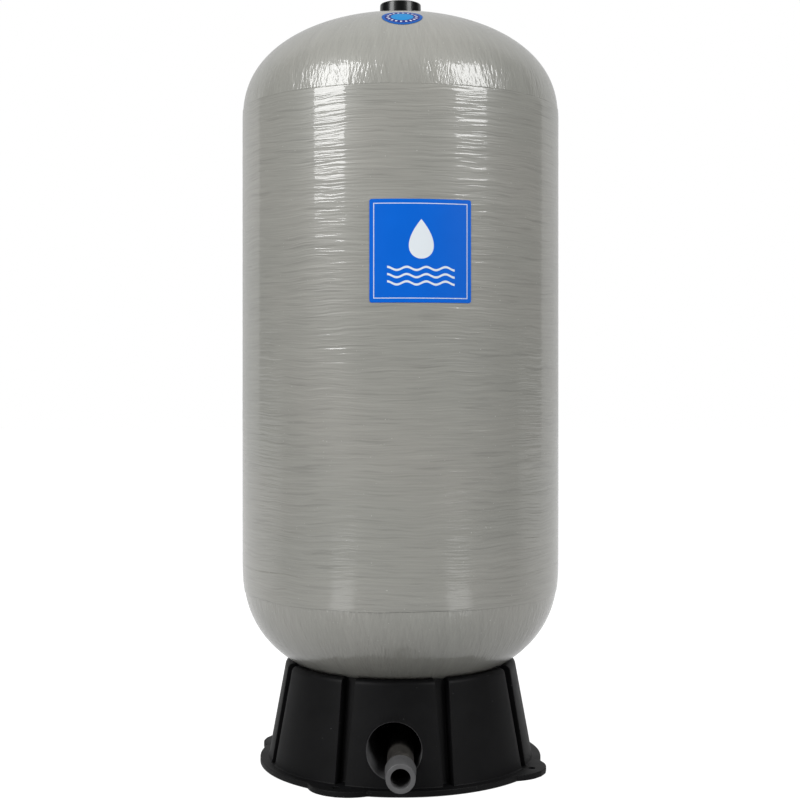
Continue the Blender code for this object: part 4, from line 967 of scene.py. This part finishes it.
class Nodes:
    """Short forms for the shader nodes of one material or world."""

    def __init__(self, owner, shader, **settings):
        owner.use_nodes = True
        self.owner = owner
        self.tree = owner.node_tree
        self.shader = self.tree.nodes[shader]
        self.settle(**settings)

    def settle(self, **settings):
        if "Normal" in settings:
            settings["Coat_Normal"] = settings["Normal"]
        for name, value in settings.items():
            self.put(self.shader.inputs[name.replace("_", " ")], value)

    def put(self, socket, value):
        if isinstance(value, Value):
            self.tree.links.new(value.socket, socket)
        else:
            socket.default_value = value

    def node(self, kind, inputs, output=0, **settings):
        node = self.tree.nodes.new("ShaderNode" + kind)
        for name, value in settings.items():
            setattr(node, name, value)
        for socket, value in inputs.items():
            self.put(node.inputs[socket], value)
        return Value(self, node.outputs[output])

    def math(self, operation, *values):
        return self.node("Math", dict(enumerate(values)), operation=operation)

    def most(self, first, *others):
        for other in others:
            first = self.math("MAXIMUM", first, other)
        return first

    def root(self, value):
        return self.math("SQRT", value)

    def length(self, x, y):
        return self.root(x * x + y * y)

    def place(self, kind="Object"):
        return self.node("TexCoord", {}, kind)

    def ray(self, kind):
        return self.node("LightPath", {}, f"Is {kind} Ray")

    def axes(self, vector):
        outputs = self.node("SeparateXYZ", {0: vector}).socket.node.outputs
        return [Value(self, output) for output in outputs]

    def join(self, x, y, z):
        return self.node("CombineXYZ", {0: x, 1: y, 2: z})

    def noise(self, vector, scale, detail=2.0):
        return self.node("TexNoise", {"Vector": vector, "Scale": scale, "Detail": detail, "Roughness": 0.5})

    def remap(self, value, low, high, to_low=0.0, to_high=1.0, kind='LINEAR'):
        inputs = {0: value, 1: low, 2: high, 3: to_low, 4: to_high}
        return self.node("MapRange", inputs, interpolation_type=kind)

    def waver(self, noise, middle, reach):
        """A noise drawn out to a value that wavers about a middle."""
        return self.remap(noise, 0.3, 0.7, middle - reach, middle + reach)

    def window(self, value, start, full, fade, end):
        """1 between full and fade, and 0 before start and after end."""
        return self.remap(value, start, full) * self.remap(value, end, fade)

    def mix(self, share, first, second):
        return self.node("Mix", {0: share, 2: first, 3: second})

    def blend(self, share, first, second):
        """A mix of two colours; a plain colour is given as 0 to 255 values."""
        first, second = (colour(*tone) if isinstance(tone, tuple) else tone for tone in (first, second))
        return self.node("Mix", {0: share, 6: first, 7: second}, 2, data_type='RGBA')

    def tint(self, base, factor):
        """A colour made lighter or darker by a factor."""
        grey = self.join(factor, factor, factor)
        return self.node("Mix", {0: 1.0, 6: base, 7: grey}, 2, data_type='RGBA', blend_type='MULTIPLY')

    def bump(self, height):
        """The height is in metres."""
        return self.node("Bump", {"Strength": 1.0, "Distance": 1.0, "Height": height})

    def grain(self, scale, height):
        """A bump of fine even grain."""
        return self.bump(self.noise(self.place(), scale) * height)


def new_finish(name, **settings):
    return Nodes(bpy.data.materials.new(name), "Principled BSDF", **settings)


def wound_resin():
    """Clear-coated resin over wound glass: lines round the hoops, crossing streaks on the domes."""
    n = new_finish("wound_resin", Roughness=0.36, Coat_Weight=0.82, Coat_Roughness=0.03, Coat_IOR=1.5)
    place = n.place()
    x, y, z = n.axes(place)
    across = n.node("VectorMath", {0: n.join(x, y, 0.0)}, operation="NORMALIZE")

    def drawn_out(direction, turns, rows, detail, level=z):
        """Noise drawn out round the tank by few turns, or along it by few rows."""
        dx, dy, _ = n.axes(direction)
        return n.noise(n.join(dx * turns, dy * turns, level * rows), 1.0, detail)

    def leaning(lean, turns, rows, detail):
        """Streaks that run from pole to hoop and lean to one side."""
        turned_in = n.node("VectorRotate", {"Vector": across, "Axis": (0, 0, 1), "Angle": z * lean},
                           rotation_type='AXIS_ANGLE')
        return drawn_out(turned_in, turns, rows, detail)

    level = z + n.waver(drawn_out(across, 2.5, 7.0, 2.0), 0.0, 0.003)
    fine = drawn_out(across, 4.0, 270.0, 1.0, level)
    band = drawn_out(across, 2.2, 100.0, 1.0, level)
    tow = drawn_out(across, 3.0, 420.0, 1.0, level)
    thin = n.remap(drawn_out(across, 3.2, 240.0, 1.0, level), 0.60, 0.68)
    last_layer = n.remap(level, LOWER_DOME[0] + 0.0012, LOWER_DOME[0] - 0.0012, 0.0, 0.0003)
    hoop_relief = fine * 0.0005 + band * 0.0003 + last_layer
    hoop_tone = n.waver(tow, 1.0, 0.06) + n.waver(band, 0.0, 0.02) - thin * 0.11

    streak = (leaning(0.7, 75.0, 14.0, 1.5) + leaning(-0.7, 70.0, 14.0, 1.5)) * 0.5
    tuft = leaning(0.4, 60.0, 110.0, 1.0)
    broad = leaning(0.9, 22.0, 9.0, 2.0)
    dome_relief = streak * 0.001 + broad * 0.0006 + tuft * 0.0005
    dome_tone = n.remap(streak, 0.36, 0.64, 0.95, 1.05) + n.waver(broad, 0.0, 0.03)

    hoops = n.window(z, LOWER_HOOP_END - 0.001, LOWER_HOOP_END + 0.001, UPPER_HOOP_END - 0.001,
                     UPPER_HOOP_END + 0.001)
    patches = n.remap(n.noise(place, 5.0), 0.35, 0.65)
    resin = n.tint(n.blend(patches, (148, 147, 141), (144, 144, 138)), n.mix(hoops, dome_tone, hoop_tone))
    speck = n.remap(n.noise(place, 420.0, 0.0), 0.85, 0.87)
    n.settle(Base_Color=n.blend(speck * 0.5, resin, (215, 215, 210)),
             Normal=n.bump(n.mix(hoops, dome_relief, hoop_relief)))
    return n.owner


def moulded_black(name, tone, rough, grain, is_base=False):
    """Satin black moulding with fine grain; the base has a little dust, and its tunnel's inside is painted a
    lighter grey as painted light where light shines in.
    """
    n = new_finish(name, Specular_IOR_Level=0.12)
    place = n.place()
    broad = n.noise(place, 30.0, 3.0)
    plain = n.blend(n.remap(broad, 0.35, 0.65), tone, tuple(value + 3 for value in tone))
    if is_base:
        speck = n.remap(n.noise(place, 420.0, 0.0), 0.89, 0.91)
        plain = n.blend(speck * 0.4, plain, (150, 150, 150))
        # Painted light: the tunnel's inside walls, which light reaches through the mouth, get a lighter grey
        # than the rest of the base
        x, y, z = n.axes(place)
        away = n.length(x, z - TUNNEL_HEIGHT)
        inside = n.remap(away, TUNNEL_MOUTH_RADIUS + 0.0010, TUNNEL_MOUTH_RADIUS + 0.0004)
        plain = n.blend(inside * n.remap(y, 0.01, -0.01), plain, TUNNEL_PAINTED_LIGHT)
    n.settle(Base_Color=plain, Roughness=n.waver(broad, rough, 0.03), Normal=n.grain(1500.0, grain))
    return n.owner


def gloss_black():
    n = new_finish("gloss_black", Roughness=0.28, Specular_IOR_Level=0.36, Coat_Weight=0.12,
                   Coat_Roughness=0.08)
    dust = n.remap(n.noise(n.place(), 900.0, 1.0), 0.72, 0.76)
    n.settle(Base_Color=n.blend(dust * 0.2, (14, 14, 15), (90, 90, 90)), Normal=n.grain(160.0, 0.00001))
    return n.owner


def pipe_plastic(name, first, second, rough):
    n = new_finish(name)
    smudge = n.noise(n.place(), 60.0, 3.0)
    n.settle(Base_Color=n.blend(n.remap(smudge, 0.35, 0.65), first, second),
             Roughness=n.waver(smudge, rough, 0.05), Normal=n.grain(1400.0, 0.00003))
    return n.owner


def clouded(name, scale, first, second, rough, grain_scale, grain):
    """A dull moulding whose tone drifts between two colours."""
    n = new_finish(name, Roughness=rough)
    n.settle(Base_Color=n.blend(n.noise(n.place(), scale, 3.0), first, second),
             Normal=n.grain(grain_scale, grain))
    return n.owner


def metal(name, first, second, rough):
    """Turned metal with lathe marks."""
    n = new_finish(name, Metallic=1.0)
    place = n.place()
    cloudy = n.noise(place, 400.0, 3.0)
    lathe = n.noise(n.join(0.0, 0.0, n.axes(place)[2] * 6000.0), 1.0, 1.0)
    n.settle(Base_Color=n.blend(cloudy, first, second), Roughness=n.waver(cloudy, rough, 0.06),
             Normal=n.bump(lathe * 0.000004))
    return n.owner


def front_print():
    """A blue label with a plain white drop over three waves in a thin frame; sizes are in millimetres."""
    n = new_finish("blue_label", Roughness=0.42, Specular_IOR_Level=0.12)
    drop_middle, drop_half, drop_width = 18.0, 30.0, 17.5
    edge = 0.35
    u, v, _ = n.axes(n.place("UV"))
    x = (u - 0.5) * (FRONT_LABEL[0] * 1000)
    y = (v - 0.5) * (FRONT_LABEL[1] * 1000)
    away = abs(x)

    def inside(distance):
        """1 where a distance is below zero."""
        return n.remap(distance, edge, -edge)

    level = (y - drop_middle) / drop_half
    round_part = n.root(n.most(1.0 - level * level, 0.0))
    taper = n.root(n.most(1.0 - level, 0.0))
    half = round_part * taper * drop_width
    drop = inside(away - half) * inside((abs(level) - 1.0) * drop_half)
    wave = n.math("SINE", x * 0.21) * 2.4
    row = n.math("WRAP", y - wave, -21.5, -32.5)
    stripe = inside(abs(row + 27.0) - 1.6)
    band = inside(abs(y + 38.0) - 16.0) * inside(away - 52.0)
    rim = n.most(away - 72.5, abs(y) - 72.0)
    line = inside(abs(rim) - 0.55)
    field = n.blend(n.noise(n.place(), 25.0, 3.0), (0, 92, 198), (4, 98, 206))
    n.settle(Base_Color=n.blend(n.most(drop, stripe * band, line), field, (216, 223, 228)),
             Normal=n.grain(90.0, 0.00006))
    return n.owner


def top_print():
    """A round label of plain rings with a row of beads."""
    n = new_finish("round_label_blue", Roughness=0.42, Specular_IOR_Level=0.12)
    u, v, _ = n.axes(n.place("UV"))
    away = n.length(u, v)
    bead_row = n.remap(abs(away - 0.70), 0.075, 0.055)
    beads = n.remap(n.math("SINE", n.math("ARCTAN2", v, u) * 18.0), 0.2, 0.5)
    dark_ring = n.blend(beads * bead_row, (30, 34, 116), (214, 220, 230))
    rings = n.blend(n.remap(away, 0.86, 0.84), (6, 84, 164), dark_ring)
    n.settle(Base_Color=n.blend(n.remap(away, 0.56, 0.54), rings, (20, 130, 194)),
             Normal=n.grain(90.0, 0.00005))
    return n.owner


def make_object():
    fitting = moulded_black("fitting_plastic", (30, 30, 31), 0.42, 0.00003)
    black_rubber = clouded("black_rubber", 200.0, (22, 22, 23), (34, 34, 35), 0.65, 2500.0, 0.00002)
    brass = metal("valve_brass", (190, 150, 80), (205, 168, 96), 0.3)
    steel = metal("valve_steel", (160, 160, 162), (182, 182, 184), 0.3)
    white = clouded("liner_plastic", 12.0, (208, 208, 199), (220, 220, 213), 0.5, 500.0, 0.00004)
    make_shell(wound_resin())
    make_base(moulded_black("base_plastic", (11, 11, 12), 0.5, 0.00006, True))
    make_cover(gloss_black())
    make_elbow(pipe_plastic("dark_pipe_plastic", (52, 50, 48), (62, 60, 57), 0.42))
    make_spigot(pipe_plastic("grey_pipe_plastic", (80, 80, 81), (86, 86, 87), 0.4))
    make_front_label(front_print())
    make_top_label(top_print())
    make_liner("upper_liner", UPPER_DOME, VALVE_OPENING, SEAM_HEIGHT + SEAT_GAP / 2, white)
    make_liner("lower_liner", LOWER_DOME, WATER_OPENING, SEAM_HEIGHT - SEAT_GAP / 2, white)
    make_water_boss(fitting)
    make_water_nuts(fitting)
    make_water_gasket(black_rubber)
    make_valve_boss(fitting)
    make_valve_nut(fitting)
    make_cover_ring(black_rubber)
    make_air_valve(brass)
    make_spring(steel)
    make_dust_cap(fitting)
    dress_nodes(fitting, "diffuser")
    dress_nodes(black_rubber, "diaphragm", "union_o_ring", "dust_cap_seal", "valve_boss_gasket")
    dress_nodes(brass, "valve_core")
    dress_nodes(steel, "valve_pin")
    dress_nodes(white, "clench_ring")


# Studio


def make_world():
    """White to the eye and behind the tank; dim in front of it, where the studio is dark."""
    world = bpy.data.worlds.new("studio")
    bpy.context.scene.world = world
    n = Nodes(world, "Background", Color=(1, 1, 1, 1))
    x, y, z = n.axes(n.place("Generated"))
    backward = y / n.most(n.length(x, y), 0.001)
    behind = n.remap(backward, 0.50, 0.54, DARK_FRONT, WHITE_BEHIND, 'SMOOTHSTEP')
    overhead = n.remap(z, 0.62, 0.85, 0.0, WHITE_OVERHEAD)
    unseen = n.mix(n.ray("Glossy"), DIFFUSE_LIGHT, n.most(behind, overhead))
    n.settle(Strength=n.mix(n.most(n.ray("Camera"), n.ray("Transmission")), unseen, 1.0))


def make_softbox(name, azimuth, height, size, radiance):
    """A soft rectangular lamp that points at the tank's upper hoops."""
    light = bpy.data.lights.new(name, 'AREA')
    light.shape = 'RECTANGLE'
    light.size, light.size_y = size
    light.energy = radiance * pi * size[0] * size[1]
    lamp = placed(name, light, Vector(on_azimuth(LAMP_DISTANCE, azimuth, height)) + Vector((0, AXIS, 0)))
    aim = Vector((0, AXIS, UPPER_HOOP_END)) - lamp.location
    lamp.rotation_euler = aim.to_track_quat('-Z', 'Y').to_euler()
    lamp.visible_camera = False


def make_floor():
    """A white floor; the coat sees it white behind the tank and near the base, and dark elsewhere."""
    h = FLOOR_HALF
    mesh = bpy.data.meshes.new("floor")
    mesh.from_pydata([(-h, -h, 0), (h, -h, 0), (h, h, 0), (-h, h, 0)], [], [(0, 1, 2, 3)])
    floor = placed("floor", mesh, (0, 0, -0.0006))
    n = new_finish("studio_floor", Roughness=0.6, Specular_IOR_Level=0.2)
    x, y, _ = n.axes(n.place())
    y = y - AXIS
    away = n.length(x, y)
    clear = n.remap(away, FLANGE_RADIUS - 0.004, FLANGE_RADIUS)
    glare = n.window(abs(x) / away, 0.47, 0.53, 0.68, 0.74) * n.window(away, 0.70, 0.80, 2.2, 2.6)
    glare = glare * n.remap(y, -0.1, -0.3) * LOW_GLARE
    behind = n.remap(y, -0.2, 0.5) * WHITE_BEHIND
    near = n.remap(away, 1.4, 0.9, 0.0, WHITE_NEAR_BASE)
    mirrored = n.most(behind, near) + glare
    seen = n.most(n.ray("Camera"), n.ray("Transmission"), n.ray("Glossy") * mirrored)
    n.settle(Base_Color=(0.4, 0.4, 0.4, 1), Emission_Color=(1, 1, 1, 1),
             Emission_Strength=seen * clear * FLOOR_GLOW)
    mesh.materials.append(n.owner)


def make_camera():
    camera = bpy.data.cameras.new("camera")
    camera.lens = 65.745
    camera.sensor_width = 36
    camera.shift_y = -0.0304
    holder = placed("camera", camera, (-0.0008, AXIS - CAMERA_DISTANCE, CAMERA_HEIGHT))
    holder.rotation_euler = (pi / 2, 0, 0)
    bpy.context.scene.camera = holder


def make_studio():
    make_world()
    make_softbox("left_softbox", -LAMP_AZIMUTH, 2.90, (1.75, 2.6), 11.0)
    make_softbox("right_softbox", LAMP_AZIMUTH, 3.06, (1.75, 2.3), 9.8)
    make_floor()
    make_camera()
    bpy.context.scene.view_settings.view_transform = 'Standard'


make_object()
make_studio()
bpy.context.view_layer.update()
